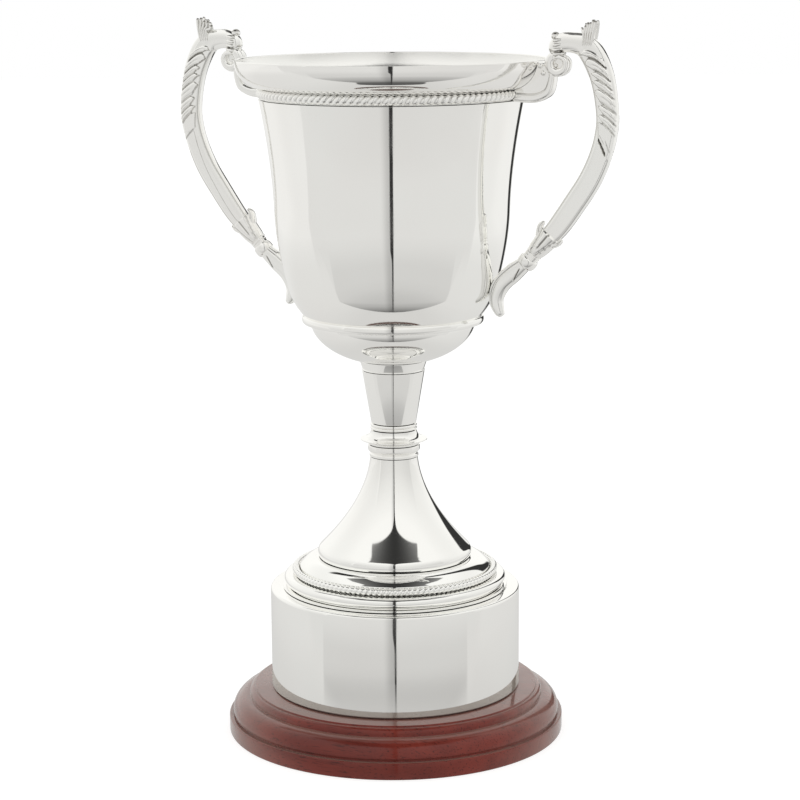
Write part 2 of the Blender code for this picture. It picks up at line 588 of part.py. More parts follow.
def swept_mesh(name, points):
    """Bar along rows of (out, up, width, thickness) in the XZ plane, with chamfered corners."""
    route = smooth_route(points)
    shape = bmesh.new()
    rings = []
    for index, (out, up, width, thickness) in enumerate(route):
        before = route[max(index - 1, 0)]
        after = route[min(index + 1, len(route) - 1)]
        along = Vector((after[0] - before[0], after[1] - before[1])).normalized()
        cut = ARM_SECTION_CHAMFER * min(width, thickness)
        w, t = width / 2, thickness / 2
        section = [(w, t - cut), (w - cut, t), (cut - w, t), (-w, t - cut),
                   (-w, cut - t), (cut - w, -t), (w - cut, -t), (w, cut - t)]
        rings.append([shape.verts.new((out - along.y * s, y, up + along.x * s)) for s, y in section])
    for ring, following in zip(rings, rings[1:]):
        for i in range(len(ring)):
            shape.faces.new((ring[i - 1], ring[i], following[i], following[i - 1]))
    shape.faces.new(rings[0])
    shape.faces.new(rings[-1])
    return to_mesh(name, shape)


def plate_mesh(name, outline, thickness):
    """Flat plate of an outline in the XZ plane, with its middle on the plane."""
    shape = bmesh.new()
    corners = [shape.verts.new((out, -thickness / 2, up)) for out, up in outline]
    face = shape.faces.new(corners)
    grown = bmesh.ops.extrude_face_region(shape, geom=[face])
    moved = [item for item in grown["geom"] if isinstance(item, bmesh.types.BMVert)]
    bmesh.ops.translate(shape, vec=(0, thickness, 0), verts=moved)
    return to_mesh(name, shape)


def handle_parts(bowl):
    """Arm, volute, strap, web, tuft, calyx and knuckle of one handle, on the +X side."""
    rim = (RIM_RADIUS, RIM_Z)
    tail = (bowl.wall_at(bowl.tail_z)[0], bowl.tail_z)
    drop = RIM_Z - bowl.tail_z

    def route(rows, start):
        return [(start[0] + row[0] * MM, start[1] + row[1] * MM, row[2] * MM, row[3] * MM) for row in rows]

    side = [(out, -share * drop / MM, width, thickness) for out, share, width, thickness in ARM_SIDE]
    arm = route(ARM_TOP + side, rim) + route(ARM_TAIL, tail)
    web = [(rim[0] + out * MM, rim[1] + up * MM) for out, up in WEB_OUTLINE]
    volute = (RIM_RADIUS + VOLUTE_REACH, RIM_Z - VOLUTE_DROP)
    half = VOLUTE_THICKNESS / 2
    return {
        "arm": swept_mesh("arm", arm),
        "strap": swept_mesh("strap", route(STRAP, rim)),
        "tuft": swept_mesh("tuft", route(TUFT, rim)),
        "calyx": swept_mesh("calyx", route(CALYX, tail)),
        "knuckle": swept_mesh("knuckle", route(KNUCKLE, tail)),
        "web": plate_mesh("web", web, WEB_THICKNESS),
        "volute": rod_mesh("volute", VOLUTE_RADIUS, (volute[0], -half, volute[1]),
                           (volute[0], half, volute[1]), VOLUTE_FACETS),
    }


def handles(bowl, parent):
    """Two castings of one pattern, cut to the bowl and drilled for their screws."""
    parts = handle_parts(bowl)
    pattern = guide("handle_pattern", parts.pop("arm"))
    ornaments = bpy.data.collections.new("handle_ornaments")
    cuts = bpy.data.collections.new("handle_cuts")
    for collection in (ornaments, cuts):
        bpy.context.scene.collection.children.link(collection)
    for name, mesh in parts.items():
        guide(name, mesh, ornaments)
    guide("bowl_envelope", turned_mesh("bowl_envelope", bowl.envelope(), LARGE_FACETS), cuts)
    for seat, direction in bowl.screw_seats().values():
        ends = screw_line(seat, direction, 1, -GAP, SCREW_GRIP + GAP)
        guide("handle_drill", rod_mesh("handle_drill", SCREW_RADIUS + SCREW_CLEARANCE, *ends,
                                       SCREW_FACETS), cuts)
    combine(pattern, ornaments, "UNION")
    combine(pattern, cuts, "DIFFERENCE")
    casting = settled_mesh(pattern)
    for name, turn in (("handle_right", 0.0), ("handle_left", math.pi)):
        handle = place(name, casting.copy(), SILVER, parent)
        handle.rotation_euler.z = turn


def handle_screws(bowl, parent):
    """Pan-headed screws, heads inside the bowl."""
    for level, (seat, direction) in bowl.screw_seats().items():
        head_z = -(BOWL_WALL + SCREW_HEAD_SEAT)
        edge = SCREW_HEAD_HEIGHT / 2
        profile = [(0.0, head_z - SCREW_HEAD_HEIGHT), (SCREW_HEAD_RADIUS - edge, head_z - SCREW_HEAD_HEIGHT),
                   (SCREW_HEAD_RADIUS, head_z - edge), (SCREW_HEAD_RADIUS, head_z),
                   (SCREW_RADIUS, head_z), (SCREW_RADIUS, SCREW_GRIP), (0.0, SCREW_GRIP)]
        for side_name, side in (("right", 0.0), ("left", math.pi)):
            name = "handle_screw_" + side_name + "_" + level
            mesh = turned_mesh(name, profile, SCREW_FACETS)
            tilt = Matrix.Rotation(math.pi / 2 - direction, 4, "Y")
            mesh.transform(Matrix.Translation((seat[0], 0.0, seat[1])) @ tilt)
            screw = place(name, mesh, STEEL, parent)
            screw.rotation_euler.z = side


def nut_mesh(name, bottom):
    """Plain hexagon nut with a round clearance bore."""
    corner = NUT_ACROSS_FLATS / 2 / math.cos(math.pi / 6)
    top = bottom + NUT_HEIGHT
    mesh = turned_mesh(name, [(BORE_RADIUS, top), (corner, top), (corner, bottom),
                              (BORE_RADIUS, bottom)], ROD_FACETS)
    for vert in mesh.vertices:
        between_corners = round(math.atan2(vert.co.y, vert.co.x) / (math.tau / ROD_FACETS)) % 2
        if vert.co.xy.length > BORE_RADIUS + GAP and between_corners:
            vert.co.xy *= math.cos(math.pi / 6)
    return mesh


def washer(name, bottom, parent):
    """Plain washer round the tie rod."""
    top = bottom + WASHER_THICKNESS
    turned(name, [(BORE_RADIUS, top), (WASHER_RADIUS, top), (WASHER_RADIUS, bottom),
                  (BORE_RADIUS, bottom)], STEEL, parent, SMALL_FACETS)


def tie_rod(parent):
    """Rod through the stack, with a washer and nut under the base and inside the bowl."""
    base_washer = NUT_RECESS_DEPTH - GAP - WASHER_THICKNESS
    base_nut = base_washer - GAP - NUT_HEIGHT
    bowl_washer = BOWL_Z + BOWL_WALL + GAP
    bowl_nut = bowl_washer + WASHER_THICKNESS + GAP
    washer("base_washer", base_washer, parent)
    washer("bowl_washer", bowl_washer, parent)
    place("base_nut", nut_mesh("base_nut", base_nut), STEEL, parent)
    place("bowl_nut", nut_mesh("bowl_nut", bowl_nut), STEEL, parent)
    ends = [(0.0, 0.0, base_nut - ROD_END), (0.0, 0.0, bowl_nut + NUT_HEIGHT + ROD_END)]
    place("tie_rod", rod_mesh("tie_rod", ROD_RADIUS, *ends, ROD_FACETS), STEEL, parent)


def build():
    """Builds the whole cup under one empty at the origin."""
    clear_scene()
    root = bpy.data.objects.new("cup_trophy", None)
    bpy.context.scene.collection.objects.link(root)
    bowl = Bowl()
    wooden_base(root)
    metal_drum(root)
    foot_tier(root)
    foot_bell(root)
    stem(root)
    bowl_and_bead(bowl, root)
    handles(bowl, root)
    handle_screws(bowl, root)
    tie_rod(root)


build()
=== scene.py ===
"""Looks of a silver-plated, two-handled presentation cup on a metal drum and a turned wooden base.

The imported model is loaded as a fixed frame, in metres with +Z up and the handles along X. Each
class below makes one sub-assembly in the place that the frame gives it, and dresses it.
"""

import logging
import math
from dataclasses import dataclass
from enum import Enum
from typing import Callable, Iterable, Sequence

import bmesh
import bpy
from mathutils import Matrix, Vector


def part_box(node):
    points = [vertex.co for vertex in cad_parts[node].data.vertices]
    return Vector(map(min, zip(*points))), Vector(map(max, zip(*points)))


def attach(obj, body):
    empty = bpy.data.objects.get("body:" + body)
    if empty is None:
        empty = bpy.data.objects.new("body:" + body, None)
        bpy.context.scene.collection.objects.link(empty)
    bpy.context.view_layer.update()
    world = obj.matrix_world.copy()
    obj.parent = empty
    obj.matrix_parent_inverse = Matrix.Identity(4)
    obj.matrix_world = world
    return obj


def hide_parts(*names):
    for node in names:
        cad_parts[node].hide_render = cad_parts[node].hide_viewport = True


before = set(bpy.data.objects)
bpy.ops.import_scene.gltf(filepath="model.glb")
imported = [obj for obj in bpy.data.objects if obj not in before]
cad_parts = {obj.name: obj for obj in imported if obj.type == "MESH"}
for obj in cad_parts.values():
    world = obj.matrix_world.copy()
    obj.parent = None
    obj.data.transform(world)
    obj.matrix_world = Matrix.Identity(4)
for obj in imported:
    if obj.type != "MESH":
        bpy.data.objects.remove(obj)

MM = 0.001
BODY = "root"

# Mesh fineness
SPIN_STEPS = 192
SMALL_STEPS = 96
ARC_STEPS = 10
CURVE_STEPS = 36
FILLET_STEPS = 5
BUTTON_STEPS = (40, 24)
SHARP_ANGLE = math.radians(38)
MERGE_DISTANCE = 0.002 * MM

# Fits that the frame leaves between its pieces
GAP = 0.3 * MM
BORE_RADIUS = 3.4 * MM

Point = tuple[float, float]
Corner = tuple[float, float, float]
Row = tuple[float, float, float, float, float]
Carving = tuple[float, float]
Relief = Callable[[float, float, float, float], Carving]
Colour = tuple[float, float, float]
Material = bpy.types.Material
Mesh = bpy.types.Mesh
Socket = bpy.types.NodeSocket

log = logging.getLogger("cup")


class Side(Enum):
    """Which handle, as its turn about the cup's axis."""

    RIGHT = 0.0
    LEFT = math.pi


class Section(Enum):
    """Shape of a rope bead's wire."""

    ROUND = "round"
    HALF_ROUND = "half round"


@dataclass(frozen=True)
class Extent:
    """Radius and heights that the frame gives a turned piece."""

    radius: float
    bottom: float
    top: float

    @classmethod
    def of(cls, node: str) -> "Extent":
        """Reads a turned node's box in the frame."""
        low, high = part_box(node)
        return cls(high[0], low[2], high[2])


# Small sums


def ease(low: float, high: float, value: float) -> float:
    """Rises smoothly from 0 at low to 1 at high."""
    share = min(max((value - low) / (high - low), 0.0), 1.0)
    return share * share * (3.0 - 2.0 * share)


def ridge(centre: float, half_width: float, value: float) -> float:
    """Rounded bump of height 1 at a centre, and 0 beyond its half width."""
    return max(0.0, 1.0 - ((value - centre) / half_width) ** 2)


def arc(centre: Point, size: Point, start: float, end: float, steps: int = ARC_STEPS) -> list[Point]:
    """Points of a round or elliptical arc, with both ends.

    Args:
        centre: Middle of the arc.
        size: Half widths along both axes.
        start: First angle, in radians.
        end: Last angle, in radians.
        steps: Number of stretches.

    Returns:
        The points in order.
    """
    points = []
    for step in range(steps + 1):
        angle = start + (end - start) * step / steps
        points.append((centre[0] + size[0] * math.cos(angle), centre[1] + size[1] * math.sin(angle)))
    return points


def falling_curve(top: Point, top_slope: float, bottom: Point, bottom_slope: float,
                  steps: int = CURVE_STEPS) -> list[Point]:
    """Smooth profile from top to bottom.

    Args:
        top: Upper end.
        top_slope: Radius gained per unit of height at the top.
        bottom: Lower end.
        bottom_slope: Radius gained per unit of height at the bottom.
        steps: Number of stretches.

    Returns:
        The points from top to bottom.
    """
    third = (top[1] - bottom[1]) / 3
    first = (top[0] - top_slope * third, top[1] - third)
    second = (bottom[0] + bottom_slope * third, bottom[1] + third)
    points = []
    for step in range(steps + 1):
        t = step / steps
        weights = ((1 - t) ** 3, 3 * t * (1 - t) ** 2, 3 * t * t * (1 - t), t ** 3)
        points.append(tuple(sum(w * p[axis] for w, p in zip(weights, (top, first, second, bottom)))
                            for axis in (0, 1)))
    return points


def rounded(corners: Sequence[Corner], steps: int = FILLET_STEPS) -> list[Point]:
    """Closed outline whose corners are rounded.

    Args:
        corners: Rows of radius, height and the rounding's length along each side.
        steps: Stretches in each rounding.

    Returns:
        The outline's points.
    """
    points: list[Point] = []
    for index, (radius, height, size) in enumerate(corners):
        here = Vector((radius, height))
        if size == 0.0:
            points.append((radius, height))
            continue
        before = Vector(corners[index - 1][:2])
        after = Vector(corners[(index + 1) % len(corners)][:2])
        start = here + (before - here).normalized() * size
        end = here + (after - here).normalized() * size
        for step in range(steps + 1):
            t = step / steps
            spot = start * (1 - t) ** 2 + here * 2 * t * (1 - t) + end * t * t
            points.append((spot.x, spot.y))
    return points


def inset(points: Sequence[Point], distance: float) -> list[Point]:
    """Moves a falling profile towards its hollow side by a wall's thickness."""
    moved = []
    for index, point in enumerate(points):
        before = Vector(points[max(index - 1, 0)])
        after = Vector(points[min(index + 1, len(points) - 1)])
        along = (after - before).normalized()
        moved.append((point[0] + along.y * distance, point[1] - along.x * distance))
    return moved


def plain(points: Iterable[Point]) -> list[Corner]:
    """Gives profile points no rounding, so that they can stand among rounded corners."""
    return [(radius, height, 0.0) for radius, height in points]


# Meshes and pieces


def put(name: str, data: bpy.types.ID) -> bpy.types.Object:
    """Makes an object of a mesh or a camera, and links it to the scene."""
    item = bpy.data.objects.new(name, data)
    bpy.context.scene.collection.objects.link(item)
    return item


def to_mesh(name: str, shape: bmesh.types.BMesh) -> Mesh:
    """Merges a bmesh's doubles, points its faces outwards and makes it a mesh."""
    bmesh.ops.remove_doubles(shape, verts=shape.verts[:], dist=MERGE_DISTANCE)
    bmesh.ops.recalc_face_normals(shape, faces=shape.faces[:])
    mesh = bpy.data.meshes.new(name)
    shape.to_mesh(mesh)
    shape.free()
    return mesh


def link_piece(name: str, mesh: Mesh, nodes: Sequence[str],
               finish: Material) -> bpy.types.Object:
    """Links a finished mesh as a piece that stands for nodes of the frame.

    Args:
        name: Name of the piece.
        mesh: Its mesh, in place.
        nodes: Nodes that it replaces.
        finish: Its material.

    Returns:
        The piece.
    """
    mesh.shade_smooth()
    mesh.set_sharp_from_angle(angle=SHARP_ANGLE)
    piece = put(name, mesh)
    mesh.materials.append(finish)
    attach(piece, BODY)
    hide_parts(*nodes)
    log.info("%s: %d faces", name, len(mesh.polygons))
    return piece


def spun_shape(profile: Sequence[Point], steps: int) -> bmesh.types.BMesh:
    """Turns a closed profile of radius and height round the Z axis.

    Args:
        profile: The outline's points.
        steps: Facets round the piece.

    Returns:
        The turned shape.
    """
    shape = bmesh.new()
    corners = [shape.verts.new((radius, 0.0, height)) for radius, height in profile]
    edges = [shape.edges.new((corners[i - 1], corners[i])) for i in range(len(corners))]
    bmesh.ops.spin(shape, geom=corners + edges, cent=(0, 0, 0), axis=(0, 0, 1),
                   angle=math.tau, steps=steps, use_merge=True)
    bmesh.ops.remove_doubles(shape, verts=shape.verts[:], dist=MERGE_DISTANCE)
    loose = [edge for edge in shape.edges if not edge.link_faces]
    bmesh.ops.delete(shape, geom=loose, context="EDGES")
    return shape


def spun(name: str, profile: Sequence[Point], steps: int = SPIN_STEPS) -> Mesh:
    """Makes a turned mesh from a closed profile."""
    return to_mesh(name, spun_shape(profile, steps))


def turned(name: str, node: str, profile: Sequence[Point], finish: Material, slot: str,
           steps: int = SPIN_STEPS) -> bpy.types.Object:
    """Makes a turned piece that stands for one node of the frame.

    Args:
        name: Name of the piece.
        node: Node that it replaces.
        profile: Its closed outline.
        finish: Its material.
        slot: Not used.
        steps: Facets round it.

    Returns:
        The piece.
    """
    return link_piece(name, spun(name, profile, steps), [node], finish)


def settle(mesh: Mesh, others: Sequence[Mesh], operation: str) -> Mesh:
    """Joins or cuts a mesh with others.

    Args:
        mesh: The mesh to work on.
        others: Meshes that are joined to it or cut from it.
        operation: UNION or DIFFERENCE.

    Returns:
        The result, as a new mesh.
    """
    holder = bpy.data.collections.new("workbench")
    bpy.context.scene.collection.children.link(holder)
    work = put("work", mesh)
    tools = []
    for other in others:
        tool = bpy.data.objects.new("tool", other)
        holder.objects.link(tool)
        tools.append(tool)
    modifier = work.modifiers.new("Settle", "BOOLEAN")
    modifier.operation = operation
    modifier.solver = "MANIFOLD"
    modifier.operand_type = "COLLECTION"
    modifier.collection = holder
    graph = bpy.context.evaluated_depsgraph_get()
    result = bpy.data.meshes.new_from_object(work.evaluated_get(graph))
    for helper in (*tools, work):
        bpy.data.objects.remove(helper)
    bpy.data.collections.remove(holder)
    result.materials.clear()
    result.polygons.foreach_set("material_index", [0] * len(result.polygons))
    return result


# Node trees


class Nodes:
    """Shorthand for making and wiring the nodes of one tree."""

    def __init__(self, tree: bpy.types.NodeTree) -> None:
        """Keeps the tree that the nodes go in."""
        self.tree = tree

    def add(self, kind: str, **settings: object) -> bpy.types.Node:
        """Makes a node and sets its properties."""
        node = self.tree.nodes.new(kind)
        for name, value in settings.items():
            setattr(node, name, value)
        return node

    def feed(self, socket: Socket, value: object) -> None:
        """Wires a socket to an output, or sets its value."""
        if isinstance(value, Socket):
            self.tree.links.new(value, socket)
        else:
            socket.default_value = value

    def fill(self, node: bpy.types.Node, **values: object) -> None:
        """Feeds a node's inputs by name; an underscore stands for a space."""
        for name, value in values.items():
            self.feed(node.inputs[name.replace("_", " ")], value)

    def math(self, operation: str, *values: object) -> Socket:
        """Adds a sum of one, two or three values."""
        node = self.add("ShaderNodeMath", operation=operation)
        for socket, value in zip(node.inputs, values):
            self.feed(socket, value)
        return node.outputs[0]

    def times(self, first: object, *others: object) -> Socket:
        """Multiplies values."""
        for other in others:
            first = self.math("MULTIPLY", first, other)
        return first

    def bearing(self, right: Socket, ahead: Socket) -> Socket:
        """Degrees that a place or a direction lies to the right of straight ahead."""
        return self.math("DEGREES", self.math("ARCTAN2", right, ahead))

    def spread(self, value: object, low: float, high: float, start: float = 0.0, end: float = 1.0,
               smooth: bool = True) -> Socket:
        """Maps a value's range to another, smoothly and without overshoot."""
        kind = "SMOOTHSTEP" if smooth else "LINEAR"
        node = self.add("ShaderNodeMapRange", interpolation_type=kind)
        for socket, item in zip(node.inputs, (value, low, high, start, end)):
            self.feed(socket, item)
        return node.outputs[0]

    def band(self, value: object, low: float, high: float, soft: float) -> Socket:
        """Gives 1 between two values and 0 outside them, over a soft edge within."""
        return self.times(self.spread(value, low, low + soft),
                          self.spread(value, high - soft, high, 1.0, 0.0))

    def ramp(self, value: object, stops: Sequence[Point]) -> Socket:
        """Reads a level off stops of value and level, with straight lines between them."""
        low, high = stops[0][0], stops[-1][0]
        node = self.add("ShaderNodeValToRGB")
        points = node.color_ramp.elements
        for index, (at, level) in enumerate(stops):
            if index == 0:
                point = points[0]
            elif index == len(stops) - 1:
                point = points[-1]
            else:
                point = points.new((at - low) / (high - low))
            point.color = (level, level, level, 1.0)
        self.feed(node.inputs["Fac"], self.spread(value, low, high, smooth=False))
        return node.outputs["Color"]

    def mix(self, factor: object, first: object, second: object) -> Socket:
        """Mixes two colours."""
        node = self.add("ShaderNodeMix", data_type="RGBA")
        for name, value in (("Factor_Float", factor), ("A_Color", first), ("B_Color", second)):
            socket = next(item for item in node.inputs if item.identifier == name)
            self.feed(socket, (*value, 1.0) if isinstance(value, tuple) else value)
        return next(item for item in node.outputs if item.identifier == "Result_Color")

    def noise(self, vector: object, scale: float, detail: float = 3.0, roughness: float = 0.5) -> Socket:
        """Adds a noise and gives its value."""
        node = self.add("ShaderNodeTexNoise")
        self.fill(node, Vector=vector, Scale=scale, Detail=detail, Roughness=roughness)
        return node.outputs["Fac"]

    def place(self, vector: object, scale: Sequence[float], turn: Sequence[float] = (0, 0, 0)) -> Socket:
        """Adds a Mapping node that stretches and turns a pattern."""
        node = self.add("ShaderNodeMapping")
        self.fill(node, Vector=vector, Scale=scale, Rotation=turn)
        return node.outputs["Vector"]

    def facing(self) -> Socket:
        """How far a surface turns from the ray that meets it, from 0 face on to 1 at a skim."""
        node = self.add("ShaderNodeLayerWeight")
        self.fill(node, Blend=0.5)
        return node.outputs["Facing"]

    def group(self, tree: bpy.types.NodeTree, **values: object) -> bpy.types.Node:
        """Places a node group and feeds its inputs."""
        node = self.add("ShaderNodeGroup", node_tree=tree)
        self.fill(node, **values)
        return node

    def bump(self, height: object, distance: float) -> Socket:
        """Adds a Bump node for a height between 0 and 1."""
        node = self.add("ShaderNodeBump")
        self.fill(node, Distance=distance, Height=height)
        return node.outputs["Normal"]


def new_group(name: str, inputs: Sequence[tuple[str, str]],
              outputs: Sequence[tuple[str, str]]) -> tuple[Nodes, dict, bpy.types.Node]:
    """Starts a shader node group.

    Args:
        name: Name of the group.
        inputs: Names and socket types of its inputs.
        outputs: Names and socket types of its outputs.

    Returns:
        The nodes' shorthand, the group's inputs by name, and its output node.
    """
    tree = bpy.data.node_groups.new(name, "ShaderNodeTree")
    for in_out, sockets in (("INPUT", inputs), ("OUTPUT", outputs)):
        for label, kind in sockets:
            tree.interface.new_socket(label, in_out=in_out, socket_type=kind)
    nodes = Nodes(tree)
    source = nodes.add("NodeGroupInput").outputs
    return nodes, {label: source[label] for label, _ in inputs}, nodes.add("NodeGroupOutput")


def polish_group() -> bpy.types.NodeTree:
    """Hand polish: a haze in patches, fine rubbing marks, and the slow ripple of worked metal."""
    if "polish" in bpy.data.node_groups:
        return bpy.data.node_groups["polish"]
    nodes, given, out = new_group(
        "polish",
        [("Vector", "NodeSocketVector"), ("Low", "NodeSocketFloat"), ("High", "NodeSocketFloat")],
        [("Roughness", "NodeSocketFloat"), ("Height", "NodeSocketFloat"), ("Tone", "NodeSocketFloat")])
    vector = given["Vector"]
    haze_and_painted_sheen = nodes.spread(nodes.noise(vector, 38.0, 4.0), 0.35, 0.68)
    marks = nodes.noise(nodes.place(vector, (900, 900, 120), (0.3, 0.2, 0.7)), 1.0, 2.0)
    amount = nodes.math("MULTIPLY_ADD", marks, 0.35, nodes.times(haze_and_painted_sheen, 0.65))
    nodes.fill(out, Roughness=nodes.spread(amount, 0.0, 1.0, given["Low"], given["High"]),
               Height=nodes.noise(vector, 46.0, 1.0),
               Tone=nodes.spread(nodes.noise(vector, 17.0, 2.0), 0.3, 0.7))
    return nodes.tree


def grain_group() -> bpy.types.NodeTree:
    """Wood grain along X: bands of colour, dark pores and their height."""
    if "grain" in bpy.data.node_groups:
        return bpy.data.node_groups["grain"]
    nodes, given, out = new_group(
        "grain", [("Vector", "NodeSocketVector"), ("Pore Depth", "NodeSocketFloat")],
        [("Bands", "NodeSocketFloat"), ("Pores", "NodeSocketFloat"), ("Height", "NodeSocketFloat")])
    vector = given["Vector"]
    bands = nodes.noise(nodes.place(vector, (7, 70, 55)), 1.0, 5.0, 0.6)
    pores = nodes.noise(nodes.place(vector, (60, 1500, 1300)), 1.0, 2.0, 0.6)
    dark = nodes.spread(pores, 0.56, 0.7)
    nodes.fill(out, Bands=nodes.spread(bands, 0.3, 0.7), Pores=nodes.times(dark, given["Pore Depth"]),
               Height=nodes.math("SUBTRACT", 1.0, dark))
    return nodes.tree


# Finishes


def new_material(name: str) -> tuple[Material, Nodes, bpy.types.Node, Socket]:
    """Starts a material.

    Args:
        name: Name of the material.

    Returns:
        The material, its nodes' shorthand, its Principled shader and its Object coordinates.
    """
    material = bpy.data.materials.new(name)
    material.use_nodes = True
    nodes = Nodes(material.node_tree)
    shader = material.node_tree.nodes["Principled BSDF"]
    return material, nodes, shader, nodes.add("ShaderNodeTexCoord").outputs["Object"]


@dataclass(frozen=True)
class Plate:
    """Polished metal plate: its two tones, its range of roughness and its ripple."""

    name: str
    bright: Colour
    warm: Colour
    low: float
    high: float
    ripple: float

    def material(self) -> Material:
        """Makes the metal's material."""
        material, nodes, shader, coordinates = new_material(self.name)
        polish = nodes.group(polish_group(), Vector=coordinates, Low=self.low, High=self.high)
        colour = nodes.mix(polish.outputs["Tone"], self.bright, self.warm)
        nodes.fill(shader, Metallic=1.0, Base_Color=colour, Roughness=polish.outputs["Roughness"],
                   Normal=nodes.bump(polish.outputs["Height"], self.ripple))
        return material


@dataclass(frozen=True)
class CastPlate(Plate):
    """Plated casting, with oxide and painted shade darkening its carved recesses."""

    oxide_and_shade: Colour = (0.2, 0.19, 0.17)

    def material(self) -> Material:
        """Makes the plate's material; oxide and painted shade darken what the mesh marks as a recess."""
        material = super().material()
        nodes = Nodes(material.node_tree)
        shader = material.node_tree.nodes["Principled BSDF"]
        clean = shader.inputs["Base Color"].links[0].from_socket
        # Painted shade: the recess attribute darkens carved hollows towards one colour, for oxide and for the
        # shade in them.
        recess = nodes.add("ShaderNodeAttribute", attribute_name="recess").outputs["Fac"]
        nodes.feed(shader.inputs["Base Color"], nodes.mix(recess, clean, self.oxide_and_shade))
        return material


@dataclass(frozen=True)
class Varnish:
    """Wood under varnish: colours, pores and gloss, a painted sheen at a skim, and painted tones for the
    silver's reflections.
    """

    name: str
    light: Colour
    dark: Colour
    pore: Colour
    pore_depth: float
    coat: float
    roughness: float
    haze_and_painted_sheen: float = 0.27
    painted_sheen_tone: Colour = (0.54, 0.42, 0.36)
    mirrored: Colour = (0.13, 0.07, 0.058)
    mirrored_shelf: Colour = (0.4, 0.34, 0.3)
    coat_roughness: float = 0.06
    coat_index: float = 1.33
    sheen_level: float = 0.1
    pore_height: float = 0.015 * MM

    def material(self) -> Material:
        """Makes the wood's material."""
        material, nodes, shader, coordinates = new_material(self.name)
        grain = nodes.group(grain_group(), Vector=coordinates, Pore_Depth=self.pore_depth)
        wood = nodes.mix(grain.outputs["Bands"], self.dark, self.light)
        wood = nodes.mix(grain.outputs["Pores"], wood, self.pore)
        facing = nodes.facing()
        # Painted sheen: the wood is lightened towards a pale tone where it turns away from the view.
        wood = nodes.mix(nodes.spread(facing, 0.15, 0.65, 0.0, self.haze_and_painted_sheen), wood, self.painted_sheen_tone)
        # Painted reflection: in the silver's reflections the wood shows two set tones, the lighter one at a
        # skim.
        reflected = nodes.add("ShaderNodeLightPath").outputs["Is Glossy Ray"]
        tone = nodes.mix(nodes.spread(facing, 0.4, 0.75), self.mirrored, self.mirrored_shelf)
        worn = nodes.spread(nodes.noise(coordinates, 60.0), 0.3, 0.7,
                            self.roughness * 0.8, self.roughness * 1.25)
        nodes.fill(shader, Base_Color=nodes.mix(reflected, wood, tone), Roughness=worn,
                   Normal=nodes.bump(grain.outputs["Height"], self.pore_height), Coat_Weight=self.coat,
                   Coat_Roughness=self.coat_roughness, Coat_IOR=self.coat_index,
                   Specular_IOR_Level=self.sheen_level)
        return material


@dataclass(frozen=True)
class Felt:
    """Dyed wool felt with a short nap."""

    name: str
    light: Colour
    dark: Colour
    nap: float = 0.25 * MM
    sheen: float = 0.4

    def material(self) -> Material:
        """Makes the felt's material."""
        material, nodes, shader, coordinates = new_material(self.name)
        fibres = nodes.noise(nodes.place(coordinates, (1, 1, 0.3)), 2600.0, 4.0, 0.7)
        clumps = nodes.noise(coordinates, 240.0, 3.0)
        shade = nodes.math("MULTIPLY_ADD", fibres, 0.6, nodes.times(clumps, 0.4))
        nodes.fill(shader, Base_Color=nodes.mix(nodes.spread(shade, 0.35, 0.65), self.dark, self.light),
                   Roughness=nodes.spread(fibres, 0.3, 0.7, 0.88, 1.0), Normal=nodes.bump(shade, self.nap),
                   Sheen_Weight=self.sheen, Sheen_Roughness=0.5)
        return material


@dataclass
class Finishes:
    """The materials of the cup, made once."""

    spun: Material
    satin: Material
    cast: Material
    steel: Material
    mahogany: Material
    core: Material
    baize: Material

    @classmethod
    def make(cls) -> "Finishes":
        """Mixes every finish of the cup."""
        bright, warm = (0.985, 0.985, 0.965), (0.965, 0.955, 0.935)
        return cls(
            spun=Plate("spun_silver", bright, warm, 0.03, 0.075, 0.03 * MM).material(),
            satin=Plate("satin_silver", bright, warm, 0.18, 0.26, 0.03 * MM).material(),
            cast=CastPlate("cast_silver", bright, warm, 0.05, 0.12, 0.04 * MM).material(),
            steel=Plate("zinc_steel", (0.62, 0.63, 0.64), (0.55, 0.54, 0.5), 0.24, 0.42,
                        0.05 * MM).material(),
            mahogany=Varnish("mahogany", (0.235, 0.038, 0.026), (0.155, 0.026, 0.019),
                             (0.055, 0.01, 0.008), 0.75, 1.0, 0.3).material(),
            core=Varnish("core_wood", (0.56, 0.41, 0.25), (0.45, 0.31, 0.17), (0.3, 0.19, 0.09),
                         0.6, 0.0, 0.62).material(),
            baize=Felt("baize", (0.03, 0.16, 0.07), (0.012, 0.08, 0.032)).material())


# Turned pieces


